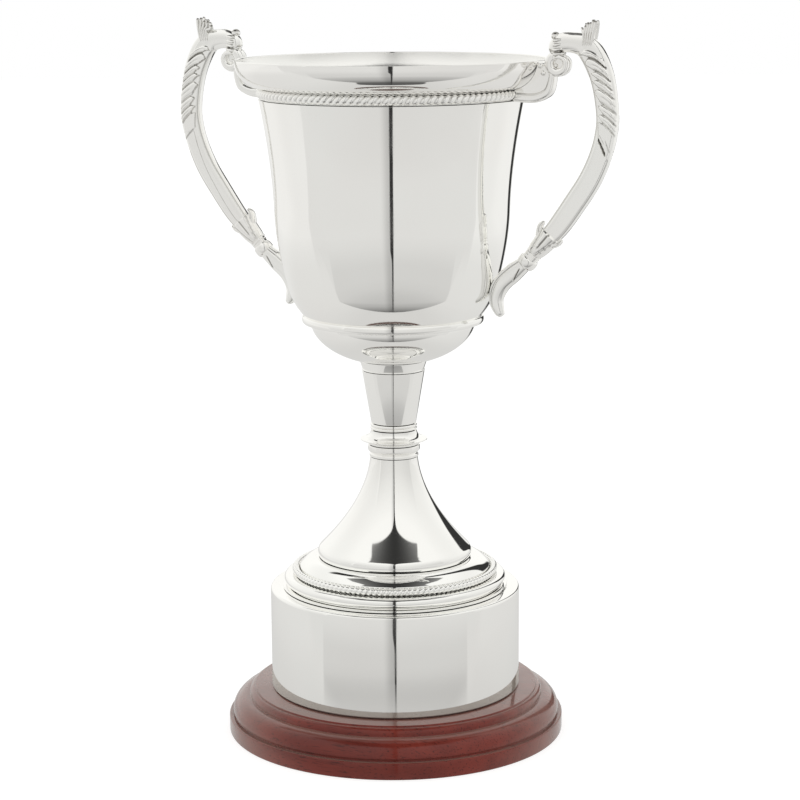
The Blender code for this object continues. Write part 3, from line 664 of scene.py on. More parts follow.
@dataclass
class Base:
    """Turned wooden base with its baize underneath."""

    step: float = 0.8 * MM
    shelf: float = 69.6 * MM
    edge_round: float = 2.6 * MM
    edge_start: float = math.radians(87)
    neck_out: float = 0.6 * MM
    neck_drop: float = 1.2 * MM
    lip_setback: float = 1.9 * MM
    quirk_height: float = 1.7 * MM
    quirk_depth: float = 0.8 * MM
    foot_band: float = 8.2 * MM
    corner: float = 0.8 * MM
    nut_recess: float = 11.0 * MM
    nut_recess_depth: float = 13.0 * MM
    crisp: float = 0.3 * MM
    baize_round: float = 0.5 * MM

    def profile(self) -> list[Point]:
        """Outline of the base, from the bore outwards and back underneath."""
        size = Extent.of("wood_base")
        pad = Extent.of("baize_pad")
        lip_radius = size.radius - self.lip_setback
        lip_z = self.foot_band + self.quirk_height
        edge_end = (self.shelf + self.edge_round, size.top - self.step - self.edge_round)
        ovolo_top = (edge_end[0] + self.neck_out, edge_end[1] - self.neck_drop)
        groove = lip_radius - self.quirk_depth
        recess = pad.radius + GAP
        recess_z = pad.top + GAP
        fine = self.crisp
        outline = [(BORE_RADIUS, size.top, 0.0), (self.shelf, size.top, fine),
                   (self.shelf, size.top - self.step, fine / 2)]
        outline += plain(arc((self.shelf, edge_end[1]), (self.edge_round, self.edge_round),
                             self.edge_start, 0))
        outline += [(edge_end[0], ovolo_top[1], fine)]
        outline += plain(arc((ovolo_top[0], lip_z), (lip_radius - ovolo_top[0], ovolo_top[1] - lip_z),
                             math.pi / 2, 0, 2 * ARC_STEPS))
        outline += [(lip_radius, lip_z - fine, fine / 2), (groove, lip_z - self.quirk_depth / 2, fine),
                    (groove, self.foot_band, fine), (size.radius, self.foot_band, self.corner),
                    (size.radius, size.bottom, self.corner), (recess, size.bottom, fine),
                    (recess, recess_z, 0.0), (self.nut_recess, recess_z, 0.0),
                    (self.nut_recess, self.nut_recess_depth, 0.0),
                    (BORE_RADIUS, self.nut_recess_depth, 0.0)]
        return rounded(outline)

    def build(self, finishes: Finishes) -> None:
        """Makes the wood and its baize."""
        turned("base_wood", "wood_base", self.profile(), finishes.mahogany, "mahogany")
        pad = Extent.of("baize_pad")
        soft = self.baize_round
        outline = rounded([(0.0, pad.top, 0.0), (pad.radius, pad.top, soft / 3),
                           (pad.radius, pad.bottom, soft), (0.0, pad.bottom, 0.0)])
        felt = turned("base_baize", "baize_pad", outline, finishes.baize, "baize")


@dataclass
class Drum:
    """Metal drum with a closed top and a rolled foot, and the wooden core inside it."""

    wall: float = 1.0 * MM
    shoulder: float = 1.6 * MM
    foot: float = 0.9 * MM

    def build(self, finishes: Finishes) -> None:
        """Makes the drum and dresses the core."""
        size = Extent.of("plinth_drum")
        inside = size.radius - self.wall
        outline = rounded([
            (BORE_RADIUS, size.top, 0.0), (size.radius, size.top, self.shoulder),
            (size.radius, size.bottom, self.foot), (inside - GAP, size.bottom, 0.0),
            (inside, size.bottom + self.foot, 0.0), (inside, size.top - self.shoulder, 0.0),
            (inside - self.shoulder, size.top - self.wall, 0.0),
            (BORE_RADIUS, size.top - self.wall, 0.0)])
        turned("drum_shell", "plinth_drum", outline, finishes.spun, "silver_plate")
        dress("plinth_core", finishes.core)


@dataclass
class RopeBead:
    """Twisted wire soldered round a piece."""

    node: str
    centre: Point
    size: float
    tilt: float
    section: Section
    strands: int = 118
    depth: float = 0.34
    oxide_and_shade: float = 0.45
    twist: float = 2.0
    strand_round: float = 0.8
    edge_fade: float = 0.3
    steps_per_strand: int = 10
    sides: int = 22

    def build(self, finishes: Finishes) -> None:
        """Spins the wire's section, presses the strands into it and darkens their gaps with oxide and painted
        shade.
        """
        if self.section is Section.ROUND:
            outline = arc(self.centre, (self.size, self.size), 0, -math.tau, self.sides)[:-1]
        else:
            outline = arc(self.centre, (self.size, self.size), self.tilt + math.pi / 2,
                          self.tilt - math.pi / 2, self.sides)
        shape = spun_shape(outline, self.strands * self.steps_per_strand)
        recess = shape.verts.layers.float.new("recess")
        for vert in shape.verts:
            around = math.atan2(vert.co.y, vert.co.x)
            reach = Vector((vert.co.xy.length - self.centre[0], vert.co.z - self.centre[1]))
            angle = math.atan2(reach.y, reach.x) - self.tilt
            phase = self.strands * around - self.twist * angle
            dip = self.depth * (1.0 - abs(math.cos(phase / 2)) ** self.strand_round)
            if self.section is Section.HALF_ROUND:
                dip *= max(0.0, math.cos(angle)) ** self.edge_fade
            reach *= 1.0 - dip
            # Painted shade, with oxide: darker down in the gaps between the strands.
            vert[recess] = self.oxide_and_shade * (dip / self.depth) ** 2
            radius = self.centre[0] + reach.x
            vert.co = (radius * math.cos(around), radius * math.sin(around), self.centre[1] + reach.y)
        name = self.node.replace("bead", "wire")
        link_piece(name, to_mesh(name, shape), [self.node], finishes.cast)


@dataclass
class Foot:
    """Stepped foot: the tier with its rope bead, and the bell on top of it."""

    wall: float = 1.2 * MM
    plate: float = 1.0 * MM
    round_radius: float = 54.3 * MM
    round_section: float = 2.5 * MM
    groove: float = 0.3 * MM
    rope_seat: float = 46.6 * MM
    rope_section: float = 1.7 * MM
    rope_depth: float = 0.22
    rope_oxide_and_shade: float = 0.2
    dome_bulge: float = 1.4 * MM
    hole: float = 30.0 * MM
    bell_top: float = 11.6 * MM
    lip_round: float = 4.0 * MM
    lip_under: float = math.radians(30)
    bell_slope: float = 0.1
    cone_angle: float = math.radians(45)
    crisp: float = 0.25 * MM

    def tier(self, finishes: Finishes) -> None:
        """Makes the plate, the half round, the rope and the shallow dome."""
        size = Extent.of("foot_tier")
        bell = Extent.of("foot_bell")
        plate_z = size.bottom + self.plate
        round_z = plate_z + self.groove + self.round_section
        round_r = self.round_radius - self.round_section
        ledge_z = round_z + self.round_section
        rope_r = self.rope_seat + GAP + self.rope_section
        rope_z = ledge_z + GAP + self.rope_section
        edge_z = rope_z + self.rope_section
        dome = []
        for step in range(CURVE_STEPS + 1):
            t = step / CURVE_STEPS
            dome.append((bell.radius + (self.rope_seat - bell.radius) * t,
                         size.top + (edge_z - size.top) * t + self.dome_bulge * 4 * t * (1 - t)))
        fine = self.crisp
        outline = [(self.hole, size.top, 0.0)] + plain(dome[:-1])
        outline += [(*dome[-1], fine), (self.rope_seat, ledge_z, 0.0)]
        outline += plain(arc((round_r, round_z), (self.round_section, self.round_section),
                             math.pi / 2, -math.pi / 2, 2 * ARC_STEPS))
        outline += [(round_r, plate_z, 0.0), (size.radius, plate_z, fine),
                    (size.radius, size.bottom, fine), (round_r - self.wall, size.bottom, 0.0),
                    (round_r - self.wall, ledge_z - self.wall, 0.0),
                    (self.rope_seat - self.wall, ledge_z - self.wall, 0.0),
                    (self.rope_seat - self.wall, edge_z - self.wall, 0.0),
                    (bell.radius, size.top - self.wall, 0.0), (self.hole, size.top - self.wall, 0.0)]
        turned("foot_step", "foot_tier", rounded(outline), finishes.spun, "silver_plate")
        RopeBead("foot_rope_bead", (rope_r, rope_z), self.rope_section, 0.0, Section.ROUND,
                 depth=self.rope_depth, oxide_and_shade=self.rope_oxide_and_shade).build(finishes)

    def bell(self, finishes: Finishes) -> None:
        """Makes the trumpet with its rolled lip."""
        size = Extent.of("foot_bell")
        top = (self.bell_top, size.top)
        lip = (size.radius - self.lip_round, size.bottom + self.lip_round * math.sin(self.lip_under))
        roll = arc(lip, (self.lip_round, self.lip_round), self.cone_angle, -self.lip_under)
        flare = falling_curve(top, -self.bell_slope, roll[0], -math.tan(self.cone_angle))
        hollow = inset(flare, self.wall)[1:-1]
        ceiling = size.top - self.wall
        below = [point for point in hollow if point[1] < ceiling]
        outline = [(BORE_RADIUS, size.top)] + flare + roll[1:]
        outline += [(roll[-1][0] - self.wall, size.bottom)] + below[::-1]
        outline += [(below[0][0], ceiling), (BORE_RADIUS, ceiling)]
        turned("foot_trumpet", "foot_bell", outline, finishes.spun, "silver_plate")

    def build(self, finishes: Finishes) -> None:
        """Makes the whole foot."""
        self.tier(finishes)
        self.bell(finishes)


@dataclass
class Stem:
    """Collars, knop, beads and tapered tube between the bell and the bowl."""

    bowl: "Bowl"
    ring_radius: float = 11.9 * MM
    ring_height: float = 1.9 * MM
    collar_edge: float = 0.6 * MM
    knop_rise: float = 2.4 * MM
    knop_edge: float = 0.5 * MM
    knop_under: float = 12.3 * MM
    knop_top: float = 11.2 * MM
    bead_count: int = 2
    tube_bottom: float = 10.9 * MM
    tube_wall: float = 1.4 * MM
    tube_edge: float = 0.25 * MM
    disc_edge: float = 0.25 * MM
    disc_bead: float = 0.6 * MM
    disc_lean: float = math.radians(19)
    disc_joint: float = 0.05 * MM

    def turn(self, name: str, node: str, outline: Sequence[Point], finishes: Finishes) -> None:
        """Turns one ring of the stem."""
        turned(name, node, outline, finishes.spun, "silver_plate", SMALL_STEPS)

    def lower_collar(self, finishes: Finishes) -> None:
        """Makes the double ring on top of the bell."""
        size = Extent.of("stem_lower_collar")
        ring_top = size.bottom + self.ring_height
        edge = self.collar_edge
        outline = rounded([
            (BORE_RADIUS, size.top, 0.0), (size.radius, size.top, edge),
            (size.radius, ring_top + 2 * edge, edge), (self.ring_radius - edge, ring_top, edge / 3),
            (self.ring_radius, ring_top - edge, edge / 2), (self.ring_radius, size.bottom, edge / 3),
            (BORE_RADIUS, size.bottom, 0.0)])
        self.turn("stem_double_ring", "stem_lower_collar", outline, finishes)

    def knop(self, finishes: Finishes) -> None:
        """Makes the sharp-edged knop."""
        size = Extent.of("stem_knop")
        edge = self.knop_edge
        rim_z = size.bottom + self.knop_rise
        above = arc((size.radius, size.top),
                    (size.radius - self.knop_top, size.top - rim_z - edge / 2), math.pi, 1.5 * math.pi,
                    2 * ARC_STEPS)
        under = arc((size.radius, size.bottom),
                    (size.radius - self.knop_under, self.knop_rise - edge / 2), math.pi / 2, math.pi,
                    2 * ARC_STEPS)
        outline = plain([(BORE_RADIUS, size.top)] + above[:-1]) + [(*above[-1], edge / 3)]
        outline += [(*under[0], edge / 3)] + plain(under[1:] + [(BORE_RADIUS, size.bottom)])
        self.turn("stem_sharp_knop", "stem_knop", rounded(outline), finishes)

    def beads(self, finishes: Finishes) -> None:
        """Makes the pair of small beads."""
        size = Extent.of("stem_bead_ring")
        half = (size.top - size.bottom) / self.bead_count / 2
        outline = [(BORE_RADIUS, size.top)]
        for index in range(self.bead_count):
            middle = size.top - half * (2 * index + 1)
            outline += arc((size.radius - half, middle), (half, half), math.pi / 2, -math.pi / 2)
            if index < self.bead_count - 1:
                outline.pop()
        self.turn("stem_twin_bead", "stem_bead_ring", outline + [(BORE_RADIUS, size.bottom)], finishes)

    def tube(self, finishes: Finishes) -> None:
        """Makes the tapered tube."""
        size = Extent.of("stem_tube")
        edge = self.tube_edge
        outline = rounded([
            (size.radius - self.tube_wall, size.top, 0.0), (size.radius, size.top, edge),
            (self.tube_bottom, size.bottom, edge), (self.tube_bottom - self.tube_wall, size.bottom, 0.0)])
        self.turn("stem_taper", "stem_tube", outline, finishes)

    def disc(self, finishes: Finishes) -> None:
        """Makes the disc under the bowl, which narrows to a small bead."""
        size = Extent.of("stem_upper_collar")
        edge = self.disc_edge
        seat = [(radius, height - self.disc_joint) for radius, height in self.bowl.dish[::-1]
                if radius < size.radius]
        top = seat[-1][1]
        neck = size.bottom + self.disc_bead
        waist = size.radius - (top - edge - neck) * math.tan(self.disc_lean)
        outline = rounded([(BORE_RADIUS, seat[0][1], 0.0), *plain(seat), (size.radius, top, edge / 3),
                           (size.radius, top - edge, edge / 3), (waist, neck, edge / 3),
                           (waist + edge, neck, edge / 2), (waist + edge, size.bottom, edge / 2),
                           (BORE_RADIUS, size.bottom, 0.0)])
        self.turn("stem_disc", "stem_upper_collar", outline, finishes)

    def build(self, finishes: Finishes) -> None:
        """Makes the stem from the bell upwards."""
        for make in (self.lower_collar, self.knop, self.beads, self.tube, self.disc):
            make(finishes)


@dataclass
class Bowl:
    """Spun bowl with an ovolo lip, a rope bead under it and a ridge near its bottom."""

    wall: float = 1.2 * MM
    ovolo_radius: float = 13.5 * MM
    seat_height: float = 4.9 * MM
    seat_lean: float = 1.3 * MM
    rope_section: float = 2.25 * MM
    ledge: float = 0.8 * MM
    ledge_drop: float = 0.4 * MM
    top_slope: float = 0.2
    waist_radius: float = 56.4 * MM
    waist_rise: float = 73.3 * MM
    waist_slope: float = 0.03
    turn_radius: float = 50.0 * MM
    turn_rise: float = 35.3 * MM
    turn_slope: float = 0.27
    ridge_radius: float = 43.9 * MM
    ridge_rise: float = 22.9 * MM
    ridge_height: float = 3.6 * MM
    ridge_bulge: float = 0.9 * MM
    foot_slope: float = 0.85
    dish_radius: float = 39.5 * MM
    dish_drop: float = 0.8 * MM
    dish_flat: float = 11.0 * MM
    dish_power: float = 1.72
    tail_rise: float = 38.9 * MM
    rim_bead: float = 0.55 * MM
    satin_turn: float = -0.02
    handle_gap: float = 0.08 * MM

    def __post_init__(self) -> None:
        """Works the profiles out from the frame."""
        size = Extent.of("cup_bowl")
        self.rim = (size.radius, size.top)
        self.bottom = size.bottom
        self.ovolo_centre = (size.radius - self.ovolo_radius, size.top)
        self.ovolo = arc(self.ovolo_centre, (self.ovolo_radius, self.ovolo_radius), 0, -math.pi / 2,
                         3 * ARC_STEPS)
        seat_top = (self.ovolo_centre[0], size.top - self.ovolo_radius)
        seat_foot = (seat_top[0] + self.seat_lean, seat_top[1] - self.seat_height)
        self.seat = [seat_top, seat_foot]
        wall_top = (seat_foot[0] + self.ledge, seat_foot[1] - self.ledge_drop)
        waist = (self.waist_radius, size.bottom + self.waist_rise)
        turn = (self.turn_radius, size.bottom + self.turn_rise)
        ridge_z = size.bottom + self.ridge_rise
        foot = (self.ridge_radius - self.ridge_bulge, ridge_z)
        self.flank = falling_curve(wall_top, self.top_slope, waist, self.waist_slope)
        self.flank += falling_curve(waist, self.waist_slope, turn, self.turn_slope)[1:]
        self.flank += falling_curve(turn, self.turn_slope, foot, self.foot_slope)[1:]
        ridge_foot = ridge_z - self.ridge_height
        self.band = arc((foot[0], (ridge_z + ridge_foot) / 2), (self.ridge_bulge, self.ridge_height / 2),
                        math.pi / 2, -math.pi / 2, 2 * ARC_STEPS)[1:]
        dish_z = ridge_foot - self.dish_drop
        self.dish = []
        width, depth = self.dish_radius - self.dish_flat, dish_z - size.bottom
        for across, down in arc((0.0, 0.0), (1.0, 1.0), 0, math.pi / 2, 3 * ARC_STEPS):
            self.dish.append((self.dish_flat + width * abs(across) ** (2 / self.dish_power),
                              dish_z - depth * down ** (2 / self.dish_power)))
        self.tail_z = size.bottom + self.tail_rise

    def wall_at(self, height: float) -> float:
        """Radius of the outer wall at a height."""
        for upper, lower in zip(self.flank, self.flank[1:]):
            if upper[1] >= height >= lower[1]:
                share = (upper[1] - height) / (upper[1] - lower[1])
                return upper[0] + (lower[0] - upper[0]) * share
        raise ValueError("height is off the wall")

    def profile(self) -> list[Point]:
        """Closed outline of the bowl, outside first."""
        inner_lip = self.ovolo_radius - self.wall
        lip = arc(self.ovolo_centre, (inner_lip, inner_lip), 0, -math.pi / 2, 3 * ARC_STEPS)
        inside = inset(self.seat, self.wall) + inset(self.flank, self.wall)[1:]
        inside += inset(self.dish, self.wall)[:-1] + [(self.dish_flat, self.bottom + self.wall)]
        bead = self.rim_bead * 0.9
        outline = [(*self.ovolo[0], bead)] + plain(self.ovolo[1:] + self.seat[1:] + self.flank)
        outline += plain(self.band + self.dish)
        outline += [(BORE_RADIUS, self.bottom, 0.0), (BORE_RADIUS, self.bottom + self.wall, 0.0)]
        outline += plain(inside[::-1]) + plain(lip[:0:-1]) + [(*lip[0], bead)]
        return rounded(outline)

    def rope(self) -> RopeBead:
        """The wire that lies flat on the seat under the lip."""
        middle = Vector(self.seat[0]).lerp(Vector(self.seat[1]), 0.5)
        along = (Vector(self.seat[1]) - Vector(self.seat[0])).normalized()
        out = Vector((-along.y, along.x))
        centre = middle + out * GAP
        return RopeBead("cup_rope_bead", (centre.x, centre.y), self.rope_section,
                        math.atan2(out.y, out.x), Section.HALF_ROUND)

    def envelope(self) -> list[Point]:
        """Solid outline a gap outside the bowl and its rope, which the handles are cut to."""
        wire = self.rope()
        gap = self.handle_gap
        size = self.rope_section + gap
        outline = [(0.0, self.rim[1] + self.ovolo_radius),
                   (self.rim[0] + gap, self.rim[1] + self.ovolo_radius)]
        outline += inset(self.ovolo, -gap)[:-1]
        outline += arc(wire.centre, (size, size), wire.tilt + math.pi / 2, wire.tilt - math.pi / 2)
        outline += inset(self.flank, -gap)
        return outline + [(self.ridge_radius, self.bottom), (0.0, self.bottom)]

    def build(self, finishes: Finishes) -> None:
        """Makes the bowl and its rope."""
        shell = turned("bowl_shell", "cup_bowl", self.profile(), finishes.spun, "silver_plate",
                       2 * SMALL_STEPS)
        shell.data.materials.append(finishes.satin)
        for face in shell.data.polygons:
            inwards = face.normal.xy.dot(face.center.xy.normalized()) < self.satin_turn
            if inwards and face.center.z < self.rim[1] - self.rim_bead:
                face.material_index = 1
        self.rope().build(finishes)


# Handles


@dataclass(frozen=True)
class Sweep:
    """One cast form along a route; its rows are x, y, z, width and thickness in millimetres."""

    rows: Sequence[Row]
    around: int = 32
    along: int = 48
    square: float = 2.4
    cap: float = 0.5
    relief: Relief | None = None

    def stations(self) -> list[tuple[Vector, float, float]]:
        """Rows along a smooth curve through the route, with each one's row number and length."""
        rows = [Vector(row) for row in self.rows]
        last = len(rows) - 1
        made: list[tuple[Vector, float, float]] = []
        length = 0.0
        for step in range(self.along + 1):
            place = min(step / self.along * last, last - 1e-6)
            i = int(place)
            t = place - i
            before, after = rows[max(i - 1, 0)], rows[min(i + 2, last)]
            spot = (2 * rows[i] + (rows[i + 1] - before) * t
                    + (2 * before - 5 * rows[i] + 4 * rows[i + 1] - after) * t * t
                    + (3 * rows[i] - before - 3 * rows[i + 1] + after) * t ** 3) / 2
            if made:
                length += (Vector(spot[:3]) - Vector(made[-1][0][:3])).length
            made.append((spot, place, length))
        return made

    def mesh(self, name: str) -> Mesh:
        """Wraps a grid round the route and closes it to a pole at each end."""
        stations = self.stations()
        total = stations[-1][2]
        frames = []
        for index, (spot, place, length) in enumerate(stations):
            before = Vector(stations[max(index - 1, 0)][0][:3])
            after = Vector(stations[min(index + 1, self.along)][0][:3])
            along = (after - before).normalized()
            across = along.cross(Vector((0.0, 1.0, 0.0))).normalized()
            depth = across.cross(along).normalized()
            reach = max(self.cap * min(spot[3], spot[4]), 1e-6)
            near = min(min(length, total - length) / reach, 1.0)
            closing = math.sqrt(max(0.0, 1.0 - (1.0 - near) ** 2))
            frames.append((Vector(spot[:3]), across, depth, spot[3] / 2 * closing, spot[4] / 2 * closing,
                           place, length, closing))
        shape = bmesh.new()
        recess = shape.verts.layers.float.new("recess")
        bmesh.ops.create_grid(shape, x_segments=self.around, y_segments=self.along, size=0.5)
        for vert in shape.verts:
            turn = round((vert.co.x + 0.5) * self.around) % self.around / self.around
            index = round((vert.co.y + 0.5) * self.along)
            spot, across, depth, wide, thick, place, length, closing = frames[index]
            s = math.cos(math.tau * turn)
            rise = max(0.0, 1.0 - abs(s) ** self.square) ** (1 / self.square)
            face = -1.0 if turn > 0.5 else 1.0
            lift = 0.0
            if self.relief is not None:
                lift, dark = self.relief(length, place, s, face)
                lift *= (1.0 - abs(s) ** 12) * closing
                # The relief's darkness goes into the recess attribute, painted as oxide and shade.
                vert[recess] = min(max(dark, 0.0), 1.0)
            spot = spot + across * (s * wide) + depth * (face * (rise * thick + lift * min(1.0, 2 * rise)))
            vert.co = spot * MM
        return to_mesh(name, shape)


@dataclass(frozen=True)
class Lens:
    """Rounded button in the handle's plane, in millimetres: a place, a radius and a half thickness."""

    place: Point
    radius: float
    half: float
    flat: float = 2.6
    shift: float = 0.0
    oxide_and_shade: float = 0.0

    def mesh(self, name: str) -> Mesh:
        """Presses a sphere into the button, with painted shade darkening its upper part."""
        shape = bmesh.new()
        recess = shape.verts.layers.float.new("recess")
        bmesh.ops.create_uvsphere(shape, u_segments=BUTTON_STEPS[0], v_segments=BUTTON_STEPS[1],
                                  radius=1.0)
        for vert in shape.verts:
            # Painted shade: the upper part is darkened, as if it mirrored something dark overhead.
            vert[recess] = self.oxide_and_shade * ease(0.1, 0.6, vert.co.y)
            out = vert.co.xy.length
            rise = max(0.0, 1.0 - out ** self.flat) ** (1 / self.flat) * math.copysign(1.0, vert.co.z)
            vert.co = (vert.co.x * self.radius, rise * self.half, vert.co.y * self.radius)
        middle = Vector((self.place[0], self.shift, self.place[1]))
        bmesh.ops.translate(shape, vec=middle, verts=shape.verts[:])
        bmesh.ops.scale(shape, vec=(MM, MM, MM), verts=shape.verts[:])
        return to_mesh(name, shape)


Forms = dict[str, Sweep | Lens]


def groove(centre: float, half_width: float, depth: float, dark: float) -> Relief:
    """A groove of one width along a whole form.

    Args:
        centre: Its place across the form, from -1 to 1.
        half_width: Half its width, in the same measure.
        depth: Its depth in millimetres.
        dark: How much oxide and painted shade darken it, from 0 to 1.

    Returns:
        The form's relief.
    """
    def relief(length: float, place: float, s: float, face: float) -> Carving:
        """Depth and darkness at a place across the form."""
        cut = ridge(centre, half_width, s)
        return -depth * cut, dark * cut
    return relief


@dataclass(frozen=True)
class Leaf:
    """Acanthus leaf carved on a handle's arm: lobes between curved slits, and a smooth tip.

    Its start, pitch and slope are millimetres along the arm, its end is a row number of the arm's
    route, and its edges are places across the arm, from -1 inside to 1 outside.
    """

    start: float = 19.5
    pitch: float = 5.2
    lobes: int = 7
    strong_lobes: float = 2.0
    inner: float = -0.74
    outer: float = 0.62
    slope: float = 8.4
    end: float = 8.52
    slit_half: float = 0.15
    tooth_peak: float = 0.35
    strong_depth: float = 1.05
    strong_oxide_and_shade: float = 0.85
    oxide_and_shade: float = 0.55

    def relief(self, length: float, place: float, s: float, face: float) -> Carving:
        """Carving of the lobes between the slits, and of the toothed inner edge.

        Args:
            length: Millimetres along the arm.
            place: Row number along the arm's route.
            s: Place across the arm, from -1 at its inner edge to 1 at its outer edge.
            face: -1 on the front face and 1 on the back face.

        Returns:
            Millimetres above the plain face, and the darkness painted there for oxide and shade.
        """
        low = ease(5.0, 7.5, place)
        outer = self.outer + 0.3 * low
        bend = min(max((s - self.inner) / (outer - self.inner), 0.0), 1.0)
        run = (length - self.start - (self.slope - 2.4 * low) * bend ** (2.4 - low)) / self.pitch
        if run < 0.0:
            return 0.0, 0.0
        if run > self.lobes:
            return self.tip(run - self.lobes, place, s, face)
        run += 0.16 * math.sin(1.9 * run + 0.6)
        lobe = run % 1.0
        peak = self.tooth_peak
        tooth = lobe / peak if lobe < peak else (1.0 - lobe) / (1.0 - peak)
        edge = -0.2 - 0.1 * math.sin(2.1 * int(run)) - 0.5 * tooth
        inside = ease(edge - 0.05, edge + 0.05, s) * (1.0 - ease(outer, outer + 0.08, s))
        crown = math.sin(math.pi * lobe) ** 0.6
        strong, oxide_and_shade = self.strong_depth, self.strong_oxide_and_shade
        if run >= self.strong_lobes:
            strong, oxide_and_shade = 0.68 + 0.2 * math.sin(2.4 * int(run) + 1.0), self.oxide_and_shade
        slit = (0.45 + 0.55 * bend) * strong * ridge(0.0, self.slit_half, min(lobe, 1.0 - lobe))
        vein = ridge(0.52, 0.08, lobe) * ease(0.2, 0.5, bend)
        height = inside * (0.2 + 0.8 * crown - slit - 0.35 * vein)
        # Painted shade, with oxide, in the slits and veins and along the toothed edge.
        return height, inside * (oxide_and_shade * slit + 0.25 * vein) + 0.8 * ridge(edge, 0.05, s)

    def tip(self, past: float, place: float, s: float, face: float) -> Carving:
        """Smooth tip of the leaf, which ends in a curled slit on the front and a step on the back."""
        edge = self.inner + 0.3 * min(past / 1.6, 1.0)
        end = self.end + 0.5 * (s + 0.44) if face < 0.0 else self.end + 0.03 + 0.25 * (s + 0.22)
        raised = 1.0 - ease(end - 0.02, end + 0.03, place)
        height = 0.4 * raised * ease(edge - 0.04, edge + 0.04, s)
        # Painted shade, with oxide, along the tip's edge and in its slits.
        dark = 0.6 * raised * ridge(edge, 0.045, s)
        if face > 0.0:
            return height, dark + 0.7 * ridge(end, 0.03, place) * ease(-0.3, -0.22, s)
        comma = ridge(end + 0.03, 0.075, place) * ease(-0.5, -0.42, s) * (1.0 - ease(0.44, 0.6, s))
        hook = ridge(end - 0.17, 0.03, place) * ease(-0.46, -0.4, s) * (1.0 - ease(0.1, 0.2, s))
        rib = ridge(8.5 + 0.62 * (s - 0.2), 0.04, place) * ease(0.2, 0.26, s) * (1.0 - ease(0.8, 0.88, s))
        return height - 1.2 * comma - 0.25 * (hook + rib), dark + comma + 0.5 * (hook + rib)


def joint_relief(length: float, place: float, s: float, face: float) -> Carving:
    """Oxide and painted shade in the joints between the tongues at the bridge's end."""
    joint = ease(0.4, 0.7, abs(s))
    return -0.15 * joint, 0.9 * joint


def blade_relief(length: float, place: float, s: float, face: float) -> Carving:
    """Groove along a blade of the tuft, with oxide and painted shade in the hollow of its tip and along its
    sides.
    """
    tip = ease(3.45, 3.8, place)
    cut = ridge(0.0, 0.4, s)
    return -0.3 * cut * tip, 0.95 * tip + 0.3 * (1.0 - ridge(0.0, 0.8, s)) * (1.0 - tip)


def calyx_relief(length: float, place: float, s: float, face: float) -> Carving:
    """Petal edges and midrib of the calyx, darkened with oxide and painted shade."""
    edge = 0.8 - 0.12 * place
    edges = ridge(-edge, 0.08, s) + ridge(edge, 0.08, s)
    rib = ridge(0.0, 0.07, s) * (1.0 - ease(2.2, 2.9, place))
    return -0.4 * edges - 0.45 * rib, 0.5 * edges + 0.75 * rib


